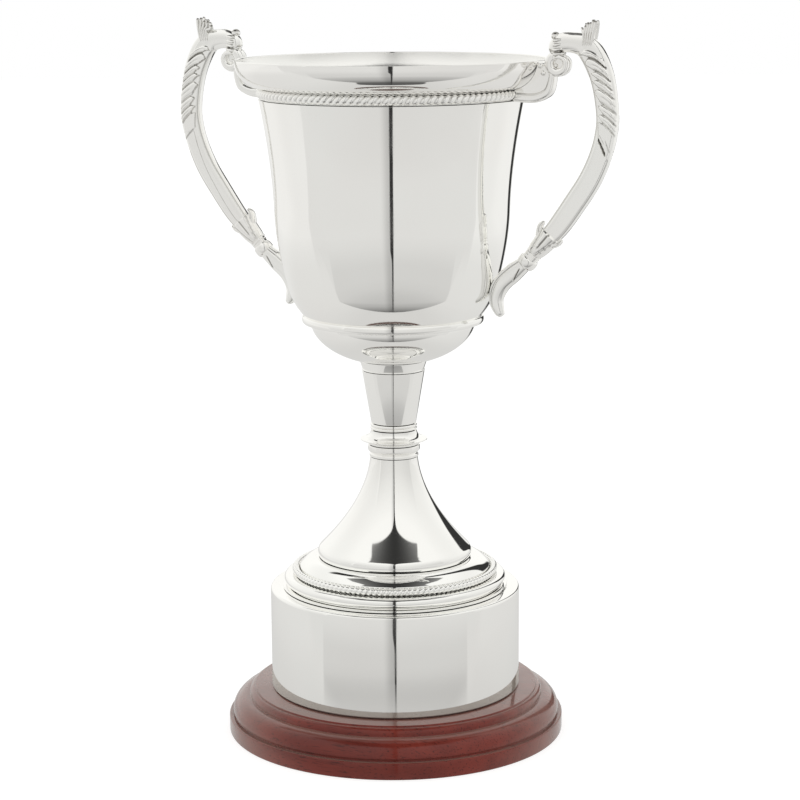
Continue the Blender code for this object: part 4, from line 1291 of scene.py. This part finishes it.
@dataclass
class Handle:
    """Cast scroll handle with an acanthus arm, drawn on the +X side in millimetres."""

    bowl: Bowl
    leaf: Leaf = Leaf()
    lower_end: float = 12.5
    volute_reach: float = 9.6
    volute_drop: float = 0.9
    scroll_shift: float = 1.85
    scroll_thick: float = 3.6
    blade_pitch: float = 1.15
    pearl_radius: float = 1.3
    pearl_shift: float = 2.0
    web_thick: float = 4.4

    def __post_init__(self) -> None:
        """Finds the rim and the tail's seat on the wall."""
        self.rim = (self.bowl.rim[0] / MM, self.bowl.rim[1] / MM)
        self.tail = (self.bowl.wall_at(self.bowl.tail_z) / MM, self.bowl.tail_z / MM)
        self.drop = self.rim[1] - self.tail[1]

    def from_rim(self, rows: Sequence[Sequence[float]]) -> list[Row]:
        """Rows of out, up, width and thickness from the rim."""
        return [(self.rim[0] + out, 0.0, self.rim[1] + up, width, thick) for out, up, width, thick in rows]

    def from_tail(self, rows: Sequence[Sequence[float]]) -> list[Row]:
        """Rows of out, up, width and thickness from the tail's seat."""
        return [(self.tail[0] + out, 0.0, self.tail[1] + up, width, thick) for out, up, width, thick in rows]

    def arm_relief(self, length: float, place: float, s: float, face: float) -> Carving:
        """Carving of the whole arm, with the arguments and results of the leaf's."""
        height, dark = self.leaf.relief(length, place, s, face) if 3.8 < place < 9.8 else (0.0, 0.0)
        height -= 1.0 * s * s * (1.0 - ease(3.4, 4.4, place))
        below = 1.0 - ease(self.lower_end - 0.2, self.lower_end + 0.2, place)
        line = below * (ridge(-0.86, 0.05, s) * ease(4.3, 4.8, place)
                        + ridge(0.87, 0.05, s) * ease(9.1, 9.4, place))
        if face > 0.0:
            crease = -0.22 + 0.4 * ease(8.6, 12.0, place)
            line += ridge(crease, 0.05, s) * below * ease(8.58, 8.64, place)
            height -= 0.3 * ease(crease - 0.04, crease + 0.04, s) * below * ease(8.58, 8.64, place)
        leaf = ease(13.9, 14.3, place) * (1.0 - ease(18.4, 19.2, place))
        height += leaf * (0.3 * ridge(-0.8, 0.14, s) - 0.6 * s * s)
        line += leaf * ridge(-0.58, 0.06, s)
        cut = ridge(0.25 + 0.7 * (place - 14.5), 0.08, s)
        cut *= ease(14.4, 14.55, place) * (1.0 - ease(15.1, 15.25, place))
        # The lines and the cut are darkened with oxide and painted shade.
        return height - 0.27 * line - 0.7 * cut, dark + 0.55 * line + 0.9 * cut

    def arm(self) -> Sweep:
        """Bridge, arm and tail in one sweep."""
        top = [(8.4, 2.2, 5.6, 6.2), (8.8, 6.4, 7.4, 6.2), (12.0, 8.2, 9.0, 6.4), (16.8, 8.3, 9.3, 6.4),
               (22.4, 6.8, 10.6, 6.4), (26.9, 1.6, 11.4, 6.4)]
        side = [(30.9, 0.075, 11.0, 6.4), (33.0, 0.185, 10.4, 6.2), (33.3, 0.28, 10.2, 6.2),
                (30.8, 0.39, 10.3, 6.0), (25.6, 0.505, 10.6, 6.0), (18.2, 0.613, 10.6, 6.0),
                (9.6, 0.726, 10.0, 6.0)]
        tail = [(25.1, 20.5, 7.6, 6.4), (18.2, 12.8, 6.8, 6.6), (11.2, 7.0, 8.8, 7.0), (5.1, 1.1, 8.4, 6.6),
                (2.6, -5.5, 7.0, 5.4), (3.9, -11.2, 5.2, 4.4), (6.2, -13.6, 3.4, 3.6)]
        rows = self.from_rim(top)
        rows += self.from_rim([(out, -share * self.drop, width, thick) for out, share, width, thick in side])
        rows += self.from_tail(tail)
        return Sweep(rows, around=112, along=560, square=3.6, relief=self.arm_relief)

    def bridge_end(self) -> Forms:
        """Stack of leaf tongues at the bridge's inner end, with a knob on top."""
        knob = (self.rim[0] + 8.0, self.rim[1] + 11.2)
        # The knob's upper part is darkened with painted shade.
        forms: Forms = {"knob": Lens(knob, 1.9, 2.5, 2.2, oxide_and_shade=0.8)}
        for index, up in enumerate((9.3, 7.2, 5.1, 3.0)):
            rows = self.from_rim([(7.2, up - 0.3, 1.9, 7.2), (9.2, up, 2.3, 8.2), (12.6, up + 0.4, 1.5, 6.2)])
            forms["tongue_%d" % index] = Sweep(rows, around=28, along=24, square=2.6, relief=joint_relief)
        return forms

    def volute(self) -> Forms:
        """Two scrolls side by side, with a recessed disc and an eye."""
        centre = (self.rim[0] + self.volute_reach, self.rim[1] - self.volute_drop)
        turns = [(100, 3.4, 4.0), (140, 3.6, 4.3), (180, 3.8, 4.3), (225, 4.2, 4.1), (270, 4.5, 3.9),
                 (315, 4.4, 3.4), (360, 4.1, 3.0), (400, 3.4, 2.6), (440, 2.6, 2.2), (475, 1.8, 1.7)]
        forms: Forms = {}
        for name, shift in (("scroll_front", -self.scroll_shift), ("scroll_back", self.scroll_shift)):
            rows = []
            for degrees, radius, width in turns:
                out, up = math.cos(math.radians(degrees)), math.sin(math.radians(degrees))
                rows.append((centre[0] + radius * out, shift, centre[1] + radius * up, width,
                             self.scroll_thick))
            forms[name] = Sweep(rows, around=32, along=110, square=2.3)
        forms["scroll_heart"] = Lens(centre, 4.8, 1.2)
        forms["scroll_eye"] = Lens((centre[0] - 0.6, centre[1] - 1.2), 1.1, 2.9)
        return forms

    def strap(self) -> Sweep:
        """C-shaped band from the volute to the cup."""
        rows = self.from_rim([(7.0, -4.0, 3.4, 6.6), (6.8, -8.3, 3.6, 6.8), (5.3, -13.4, 4.4, 6.8),
                              (2.6, -15.6, 4.6, 6.8), (-1.6, -16.9, 5.0, 6.8), (-6.5, -17.0, 5.0, 6.8),
                              (-14.0, -16.5, 4.8, 6.8)])
        return Sweep(rows, around=40, along=90, square=2.8, relief=groove(-0.8, 0.12, 0.4, 0.8))

    def tuft(self) -> Forms:
        """Fluted stub on top of the arm, which spreads to a crest of pointed leaves."""
        stub = self.from_rim([(23.9, 2.5, 5.4, 6.6), (24.4, 8.0, 4.8, 6.4), (24.8, 13.0, 4.6, 6.0),
                              (25.1, 15.6, 6.4, 5.0)])
        forms: Forms = {"tuft_stub": Sweep(stub, around=40, along=40)}
        crest = {"front": (-1.0, [(23.6, 16.4), (24.8, 17.1), (26.0, 17.8), (27.2, 18.3), (28.4, 18.5)]),
                 "back": (1.0, [(19.6, 15.3), (21.6, 16.5), (23.6, 17.4), (25.5, 18.1), (27.4, 18.5)])}
        for row, (depth, tips) in crest.items():
            for index, (out, up) in enumerate(tips):
                lean = self.blade_pitch * (index - 2)
                jag = 0.5 if index % 2 else -0.2
                blade = [(24.1 + 0.8 * lean, 2.0, 6.4, 1.1, 2.0), (24.4 + 0.85 * lean, 2.5, 9.0, 1.2, 2.4),
                         (24.8 + 0.95 * lean, 2.6, 12.4, 1.25, 2.5),
                         (0.3 * (24.9 + lean) + 0.7 * out, 2.7, up - 2.0, 1.6, 2.2),
                         (out, 3.2, up + jag, 0.9, 1.3)]
                rows = [(self.rim[0] + x, depth * y, self.rim[1] + z, width, thick)
                        for x, y, z, width, thick in blade]
                forms["tuft_%s_%d" % (row, index)] = Sweep(rows, around=20, along=40, relief=blade_relief)
        return forms

    def calyx(self) -> Forms:
        """Leafy cup that the arm grows out of, its tips, neck rings and knuckle."""
        body = self.from_tail([(30.4, 26.4, 11.8, 9.6), (28.2, 23.8, 10.6, 9.4), (25.6, 20.9, 9.8, 9.2),
                               (23.2, 18.3, 8.8, 8.4), (21.2, 16.1, 7.0, 7.0)])
        inner = self.from_tail([(24.6, 23.6, 4.2, 6.0), (24.5, 27.2, 3.5, 5.2), (24.9, 30.0, 2.6, 4.0),
                                (26.7, 31.9, 1.5, 2.4)])
        outer = self.from_tail([(28.2, 21.2, 4.2, 6.0), (31.2, 21.1, 3.5, 5.2), (33.6, 21.8, 2.6, 4.0),
                                (35.5, 23.5, 1.5, 2.4)])
        forms: Forms = {
            "calyx_body": Sweep(body, around=56, along=64, square=2.2, cap=0.12, relief=calyx_relief),
            "calyx_inner_tip": Sweep(inner, around=24, along=32, relief=groove(0.0, 0.3, 0.3, 0.45)),
            "calyx_outer_tip": Sweep(outer, around=24, along=32, relief=groove(0.0, 0.3, 0.3, 0.45))}
        rings = (("neck_ring_upper", 21.5, 16.5, 8.2), ("neck_ring_lower", 20.6, 15.4, 7.8))
        for name, out, up, width in rings:
            rows = self.from_tail([(out + 0.4, up + 0.42, width, width - 0.6),
                                   (out - 0.4, up - 0.42, width, width - 0.6)])
            forms[name] = Sweep(rows, around=40, along=10, cap=0.08)
        knuckle = self.from_tail([(20.3, 14.9, 7.2, 7.0), (19.4, 13.8, 8.8, 8.4), (18.2, 12.5, 9.2, 8.8),
                                  (17.0, 11.3, 8.7, 8.2), (16.0, 10.3, 7.0, 6.6)])
        forms["knuckle"] = Sweep(knuckle, around=40, along=32, square=2.1, cap=0.15)
        return forms

    def pearls(self) -> Forms:
        """Two pearls by the volute, on both faces."""
        forms: Forms = {}
        for name, out, up in (("upper", 1.4, -2.4), ("lower", 2.9, -5.6)):
            place = (self.rim[0] + out, self.rim[1] + up)
            for face, shift in (("front", -self.pearl_shift), ("back", self.pearl_shift)):
                forms["pearl_%s_%s" % (name, face)] = Lens(place, self.pearl_radius, self.pearl_radius,
                                                           2.0, shift)
        return forms

    def web(self, name: str) -> Mesh:
        """Thin web that fills the strap's curl."""
        outline = [(-12.0, -15.0), (-2.0, -1.5), (5.0, -3.0), (6.6, -8.5), (3.4, -14.8), (-6.0, -17.0)]
        shape = bmesh.new()
        front = -self.web_thick / 2 * MM
        corners = [shape.verts.new(((self.rim[0] + out) * MM, front, (self.rim[1] + up) * MM))
                   for out, up in outline]
        face = shape.faces.new(corners)
        grown = bmesh.ops.extrude_face_region(shape, geom=[face])
        moved = [item for item in grown["geom"] if isinstance(item, bmesh.types.BMVert)]
        bmesh.ops.translate(shape, vec=(0, self.web_thick * MM, 0), verts=moved)
        return to_mesh(name, shape)

    def build(self, finishes: Finishes) -> None:
        """Joins the forms to one casting, fits it to the bowl and places it on both sides."""
        forms: Forms = {"strap": self.strap()}
        for more in (self.bridge_end(), self.volute(), self.tuft(), self.calyx(), self.pearls()):
            forms.update(more)
        others = [form.mesh(name) for name, form in forms.items()] + [self.web("web")]
        casting = settle(self.arm().mesh("arm"), others, "UNION")
        envelope = spun("envelope", self.bowl.envelope())
        casting = settle(casting, [envelope], "DIFFERENCE")
        for side in Side:
            mesh = casting.copy()
            mesh.transform(Matrix.Rotation(side.value, 4, "Z"))
            label = side.name.lower()
            link_piece("scroll_handle_" + label, mesh, ["handle_" + label], finishes.cast)


# Fixings


def dress(node: str, finish: Material) -> None:
    """Gives a node of the frame that stays its finish."""
    piece = bpy.data.objects[node]
    for slot in piece.material_slots:
        slot.material = finish
    log.info("%s: dressed", node)


@dataclass
class Fixings:
    """Tie rod, nuts, washers and handle screws."""

    chamfer: float = 0.6 * MM
    flats: float = 10.0 * MM
    thread: float = 1.0 * MM
    thread_depth: float = 0.35 * MM
    threads: int = 14
    bore_edge: float = 0.2 * MM
    washer_edge: float = 0.25 * MM
    washer_edge_steps: int = 3
    nut_steps: int = 48
    rod_steps: int = 40
    washer_steps: int = 64

    def nut(self, node: str, finishes: Finishes) -> None:
        """Makes a chamfered hexagon nut."""
        size = Extent.of(node)
        corner = self.flats / 2 / math.cos(math.pi / 6)
        edge = self.chamfer * 1.4
        outline = rounded([(BORE_RADIUS, size.top, self.chamfer / 2), (corner, size.top, edge),
                           (corner, size.bottom, edge), (BORE_RADIUS, size.bottom, self.bore_edge)])
        shape = spun_shape(outline, self.nut_steps)
        for vert in shape.verts:
            turn = math.atan2(vert.co.y, vert.co.x) % (math.pi / 3) - math.pi / 6
            limit = self.flats / 2 / math.cos(turn)
            if vert.co.xy.length > limit:
                vert.co.xy *= limit / vert.co.xy.length
        name = node.replace("nut", "hexagon_nut")
        link_piece(name, to_mesh(name, shape), [node], finishes.steel)

    def rod(self, finishes: Finishes) -> None:
        """Makes the tie rod with its threaded ends."""
        size = Extent.of("tie_rod")
        core = size.radius - self.thread_depth
        ends: list[list[Point]] = []
        for end, inward in ((size.top, -1.0), (size.bottom, 1.0)):
            outline: list[Point] = [(0.0, end), (core - self.thread_depth, end)]
            for index in range(self.threads):
                crest = end + inward * self.thread * (index + 0.5)
                outline += [(core, crest - inward * self.thread / 2), (size.radius, crest)]
            ends.append(outline)
        turned("threaded_rod", "tie_rod", ends[0] + ends[1][::-1], finishes.steel, "steel",
               self.rod_steps)

    def build(self, finishes: Finishes) -> None:
        """Makes or dresses every fixing."""
        self.rod(finishes)
        for node in ("base_nut", "bowl_nut"):
            self.nut(node, finishes)
        for node in ("base_washer", "bowl_washer"):
            size = Extent.of(node)
            edge = self.washer_edge
            outline = rounded([(BORE_RADIUS, size.top, edge), (size.radius, size.top, edge),
                               (size.radius, size.bottom, edge), (BORE_RADIUS, size.bottom, edge)],
                              self.washer_edge_steps)
            name = node.replace("washer", "plain_washer")
            turned(name, node, outline, finishes.steel, "steel", self.washer_steps)
        for side in Side:
            for level in ("upper", "lower"):
                dress("handle_screw_%s_%s" % (side.name.lower(), level), finishes.steel)


# Studio


@dataclass(frozen=True)
class Studio:
    """White tent, table and camera, with directions measured from the camera's side.

    The levels are stops of a place in metres or an angle in degrees, with the light given off there.
    """

    azimuth: float = math.radians(24)
    distance: float = 1.1097
    height: float = 0.3786
    pitch: float = math.radians(10.94)
    roll: float = math.radians(-0.38)
    sideways: float = 3.1 * MM
    lens: float = 104.7
    sensor: float = 36.0
    floor_size: float = 6.0
    floor_level: float = -0.1 * MM
    floor_glow: float = 0.8
    table_edge: float = 0.172
    table_back: float = 3.0
    table_level: float = -0.2 * MM
    front_level: float = -0.12
    slit_dark: float = 0.035
    rear_opening: Point = (149.5, 164.5)
    high_opening: Point = (-157.0, -137.0)
    opening_edge: float = 2.0
    lamp_tint: Colour = (1.0, 0.995, 0.975)
    tent_tint: Colour = (1.0, 0.997, 0.972)
    tent_limit: float = 1.02
    table_levels: tuple[Point, ...] = (
        (0.0, 0.67), (0.1, 0.67), (0.2, 0.72), (0.27, 0.74), (0.6, 0.76), (1.0, 0.84))
    front_levels: tuple[Point, ...] = (
        (0.19, 0.1), (0.25, 0.14), (0.27, 0.24), (0.31, 0.33), (0.37, 0.44), (0.44, 0.49), (0.49, 0.55),
        (0.545, 0.625), (0.6, 0.65), (0.72, 0.655), (0.85, 0.69), (1.0, 0.72), (1.3, 0.745))
    rise_levels: tuple[Point, ...] = (
        (-90, 0.03), (-71, 0.055), (-62, 0.19), (-56, 0.33), (-48, 0.47), (-42, 0.61), (-30, 0.675),
        (-10, 0.735), (0, 0.755), (11, 0.775), (21, 0.825), (30, 0.86), (45, 0.93), (52, 0.97), (90, 1.0))
    turn_levels: tuple[Point, ...] = (
        (-180, 0.9), (-164, 0.89), (-128, 0.793), (-109, 0.74), (-80, 0.69), (-68, 0.68), (-66.5, 0.76),
        (-64.5, 0.76), (-63.5, 0.62), (-30, 0.657), (0, 0.667), (30, 0.657), (60, 0.62), (76, 0.613),
        (78, 0.68), (109, 0.74), (128, 0.793), (164, 0.89), (180, 0.9))

    def camera(self) -> None:
        """Makes the camera at the photograph's place."""
        data = bpy.data.cameras.new("camera")
        data.lens = self.lens
        data.sensor_width = self.sensor
        camera = put("camera", data)
        swing = Matrix.Rotation(self.azimuth, 4, "Z")
        place = swing @ Vector((self.sideways, -self.distance, self.height))
        tilt = Matrix.Rotation(math.pi / 2 - self.pitch, 4, "X")
        camera.matrix_world = (Matrix.Translation(place) @ swing @ tilt
                               @ Matrix.Rotation(self.roll, 4, "Z"))
        bpy.context.scene.camera = camera

    def sheet(self, name: str, reach: Point, level: float, material: Material) -> bpy.types.Object:
        """Makes a flat sheet of the studio, turned to the camera's side.

        Args:
            name: Name of the sheet.
            reach: Its front and back edges, measured away from the camera.
            level: Its height.
            material: Its material.

        Returns:
            The sheet.
        """
        shape = bmesh.new()
        bmesh.ops.create_grid(shape, x_segments=8, y_segments=8, size=1.0)
        middle, half = sum(reach) / 2, (reach[1] - reach[0]) / 2
        verts = shape.verts[:]
        bmesh.ops.scale(shape, vec=(self.floor_size, half, 1.0), verts=verts)
        bmesh.ops.translate(shape, vec=(0.0, middle, level), verts=verts)
        bmesh.ops.rotate(shape, cent=(0, 0, 0), matrix=Matrix.Rotation(self.azimuth, 3, "Z"), verts=verts)
        mesh = bpy.data.meshes.new(name)
        shape.to_mesh(mesh)
        shape.free()
        piece = put(name, mesh)
        mesh.materials.append(material)
        return piece

    def mirrored(self, name: str, reach: Point, level: float, material: Material, surface: Socket) -> None:
        """Makes a glowing sheet that shows in reflections only.

        Args:
            name: Name of the sheet.
            reach: Its front and back edges, measured away from the camera.
            level: Its height.
            material: Its material.
            surface: What the material's surface gives off.
        """
        tree = material.node_tree
        output = next(node for node in tree.nodes if node.type == "OUTPUT_MATERIAL")
        tree.links.new(surface, output.inputs["Surface"])
        piece = self.sheet(name, reach, level, material)
        piece.visible_camera = piece.visible_diffuse = piece.visible_shadow = False

    def floor(self) -> None:
        """Makes the pale floor that the camera sees."""
        material, nodes, shader, coordinates = new_material("pale_floor")
        tone = nodes.spread(nodes.noise(coordinates, 2.0), 0.3, 0.7, 0.40, 0.42)
        nodes.fill(shader, Base_Color=nodes.mix(tone, (0.4, 0.4, 0.4), (0.42, 0.42, 0.42)), Roughness=1.0,
                   Specular_IOR_Level=0.0, Emission_Color=(1.0, 1.0, 1.0, 1.0),
                   Emission_Strength=self.floor_glow)
        floor = self.sheet("floor", (-self.floor_size, self.floor_size), self.floor_level, material)
        floor.visible_glossy = floor.visible_diffuse = floor.visible_transmission = False

    def table(self) -> None:
        """Makes the table top that the silver mirrors, with its front edge before the cup."""
        material, nodes, right, behind = self.glow("table_glow")
        level = nodes.ramp(nodes.math("ABSOLUTE", right), self.table_levels)
        level = nodes.math("ADD", level, nodes.spread(behind, 0.3, 0.9, 0.0, 0.05))
        angle = nodes.bearing(right, nodes.times(behind, -1.0))
        gap = nodes.times(self.rear(nodes, angle), nodes.spread(behind, 0.45, 0.6))
        facing = nodes.facing()
        skim = nodes.times(nodes.spread(facing, 0.5, 0.7), nodes.spread(behind, -0.1, -0.06, 1.0, 0.0))
        nearer = nodes.spread(facing, 0.03, 0.1, 0.06, 0.0)
        steep = nodes.spread(nodes.math("SUBTRACT", behind, nearer), -0.178, -0.172, 1.0, 0.0)
        fade = nodes.add("ShaderNodeMixShader")
        nodes.feed(fade.inputs[0], nodes.math("MAXIMUM", skim, steep))
        nodes.feed(fade.inputs[1], self.lamp(nodes, self.darker(nodes, level, gap, self.slit_dark)))
        nodes.feed(fade.inputs[2], nodes.add("ShaderNodeBsdfTransparent").outputs[0])
        self.mirrored("table_top", (-self.table_edge, self.table_back), self.table_level, material,
                      fade.outputs[0])

    def front(self) -> None:
        """Makes the lower sheet in front of the table, with the tent's opening in it."""
        material, nodes, right, behind = self.glow("front_glow")
        wide = nodes.math("ABSOLUTE", right)
        reach = nodes.math("SQRT", nodes.math("ADD", nodes.times(wide, wide), nodes.times(behind, behind)))
        around = nodes.bearing(wide, nodes.times(behind, -1.0))
        level = nodes.math("MAXIMUM", nodes.ramp(reach, self.front_levels),
                           nodes.spread(around, 61.0, 67.0, 0.0, 0.72))
        ahead = nodes.math("MULTIPLY_ADD", behind, -1.0, -0.05)
        gap = self.slit(nodes, nodes.bearing(right, ahead), nodes.spread(reach, 0.7, 0.95, 1.7, 0.0))
        self.mirrored("front_sheet", (-self.floor_size, 0.0), self.front_level, material,
                      self.lamp(nodes, self.darker(nodes, level, gap, self.slit_dark)))

    def places(self, nodes: Nodes, coordinates: Socket) -> list[Socket]:
        """Splits coordinates to right, behind and up, as the camera's side sees them."""
        parts = nodes.add("ShaderNodeSeparateXYZ")
        nodes.feed(parts.inputs[0], nodes.place(coordinates, (1, 1, 1), (0, 0, -self.azimuth)))
        return list(parts.outputs)

    def glow(self, name: str) -> tuple[Material, Nodes, Socket, Socket]:
        """Starts a material that only gives off light.

        Args:
            name: Name of the material.

        Returns:
            The material, its nodes' shorthand, and its places to the right of the cup and behind it.
        """
        material, nodes, shader, coordinates = new_material(name)
        nodes.tree.nodes.remove(shader)
        right, behind, _ = self.places(nodes, coordinates)
        return material, nodes, right, behind

    def lamp(self, nodes: Nodes, level: Socket) -> Socket:
        """Adds an emission of a given level."""
        emission = nodes.add("ShaderNodeEmission")
        nodes.fill(emission, Strength=level, Color=(*self.lamp_tint, 1.0))
        return emission.outputs[0]

    def slit(self, nodes: Nodes, angle: Socket, narrower: object = 0.0) -> Socket:
        """Opening of the tent in front, with a soft shade on its left, at an angle from the camera's side."""
        end = nodes.spread(angle, 0.9, 1.4, 1.0, 0.0)
        core = nodes.spread(nodes.math("SUBTRACT", angle, narrower), -2.6, -2.0)
        soft = nodes.spread(angle, -12.0, -2.2, 0.0, 0.3)
        return nodes.times(nodes.math("MAXIMUM", core, soft), end)

    def rear(self, nodes: Nodes, angle: Socket) -> Socket:
        """Opening of the tent behind, on the right."""
        return nodes.band(angle, *self.rear_opening, self.opening_edge)

    def star(self, nodes: Nodes, right: Socket, ahead: Socket, up: Socket) -> tuple[Socket, Socket]:
        """Star-shaped opening in the tent's roof.

        Args:
            nodes: Shorthand of the tent's nodes.
            right: How far a direction goes to the right.
            ahead: How far it goes towards the camera.
            up: How far it goes up.

        Returns:
            Its shape, 1 within and 0 outside, and its dark level.
        """
        rise = nodes.math("MAXIMUM", up, 0.1)
        x = nodes.math("DIVIDE", nodes.math("ABSOLUTE", right), rise)
        y = nodes.math("DIVIDE", ahead, rise)
        point = nodes.times(nodes.math("POWER", nodes.math("ADD", x, 0.01), -2.0), 0.0003)
        rim = nodes.math("ADD", nodes.math("MULTIPLY_ADD", x, -0.645, 0.619), point)
        height = nodes.math("SUBTRACT", y, 0.19)
        flare = nodes.math("MAXIMUM", nodes.times(height, 1.8), nodes.times(height, -0.5))
        waist = nodes.math("MINIMUM", nodes.math("ADD", flare, 0.43), 0.55)
        shape = nodes.times(nodes.spread(nodes.math("SUBTRACT", rim, y), -0.012, 0.012),
                            nodes.spread(nodes.math("SUBTRACT", waist, x), -0.015, 0.015),
                            nodes.spread(y, -0.3, -0.25), nodes.spread(up, 0.6, 0.65))
        return shape, nodes.math("MULTIPLY_ADD", nodes.times(x, x), 0.8, self.slit_dark)

    def darker(self, nodes: Nodes, level: Socket, gap: Socket, dark: object) -> Socket:
        """Level of light, brought down to a dark one in the openings of the tent."""
        return nodes.math("MULTIPLY_ADD", nodes.math("SUBTRACT", level, dark), nodes.times(gap, -1.0), level)

    def tent(self) -> None:
        """Lights the scene with a white tent, open at a slit in front, in its roof and behind."""
        world = bpy.data.worlds.new("tent")
        bpy.context.scene.world = world
        world.use_nodes = True
        nodes = Nodes(world.node_tree)
        right, behind, up = self.places(nodes, nodes.add("ShaderNodeTexCoord").outputs["Generated"])
        ahead = nodes.times(behind, -1.0)
        angle = nodes.bearing(right, ahead)
        rise = nodes.math("DEGREES", nodes.math("ARCSINE", up))
        share = nodes.math("MULTIPLY_ADD", nodes.ramp(angle, self.turn_levels), 1.5, -1.0)
        share = nodes.math("MULTIPLY_ADD", share, nodes.spread(rise, 10.0, 45.0, 1.0, 0.0), 1.0)
        level = nodes.math("MINIMUM", nodes.times(nodes.ramp(rise, self.rise_levels), share), self.tent_limit)

        slit = nodes.times(self.slit(nodes, angle), nodes.spread(rise, 60.0, 62.0, 1.0, 0.0))
        turned = nodes.math("ADD", angle, nodes.spread(rise, -5.0, 20.0, 0.0, 12.0))
        high = nodes.times(nodes.band(angle, *self.high_opening, self.opening_edge),
                           nodes.spread(rise, 42.0, 46.0))
        back = nodes.times(nodes.math("MAXIMUM", self.rear(nodes, turned), high),
                           nodes.spread(rise, 72.0, 76.0, 1.0, 0.0))
        level = self.darker(nodes, level, nodes.math("MAXIMUM", slit, back), self.slit_dark)
        level = self.darker(nodes, level, *self.star(nodes, right, ahead, up))

        seen = nodes.add("ShaderNodeLightPath").outputs["Is Camera Ray"]
        strength = nodes.math("MULTIPLY_ADD", nodes.math("SUBTRACT", 1.0, level), seen, level)
        nodes.fill(world.node_tree.nodes["Background"], Strength=strength,
                   Color=nodes.mix(seen, self.tent_tint, (1.0, 1.0, 1.0)))

    def build(self) -> None:
        """Sets up the camera, the sheets and the light."""
        for step in (self.camera, self.floor, self.table, self.front, self.tent):
            step()
        bpy.context.scene.view_settings.view_transform = "Standard"


def main() -> None:
    """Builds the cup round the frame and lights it."""
    logging.basicConfig(level=logging.INFO, format="%(message)s")
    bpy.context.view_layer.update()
    finishes = Finishes.make()
    bowl = Bowl()
    for assembly in (Base(), Drum(), Foot(), Stem(bowl), bowl, Handle(bowl), Fixings()):
        assembly.build(finishes)
    Studio().build()


if __name__ == "__main__":
    main()
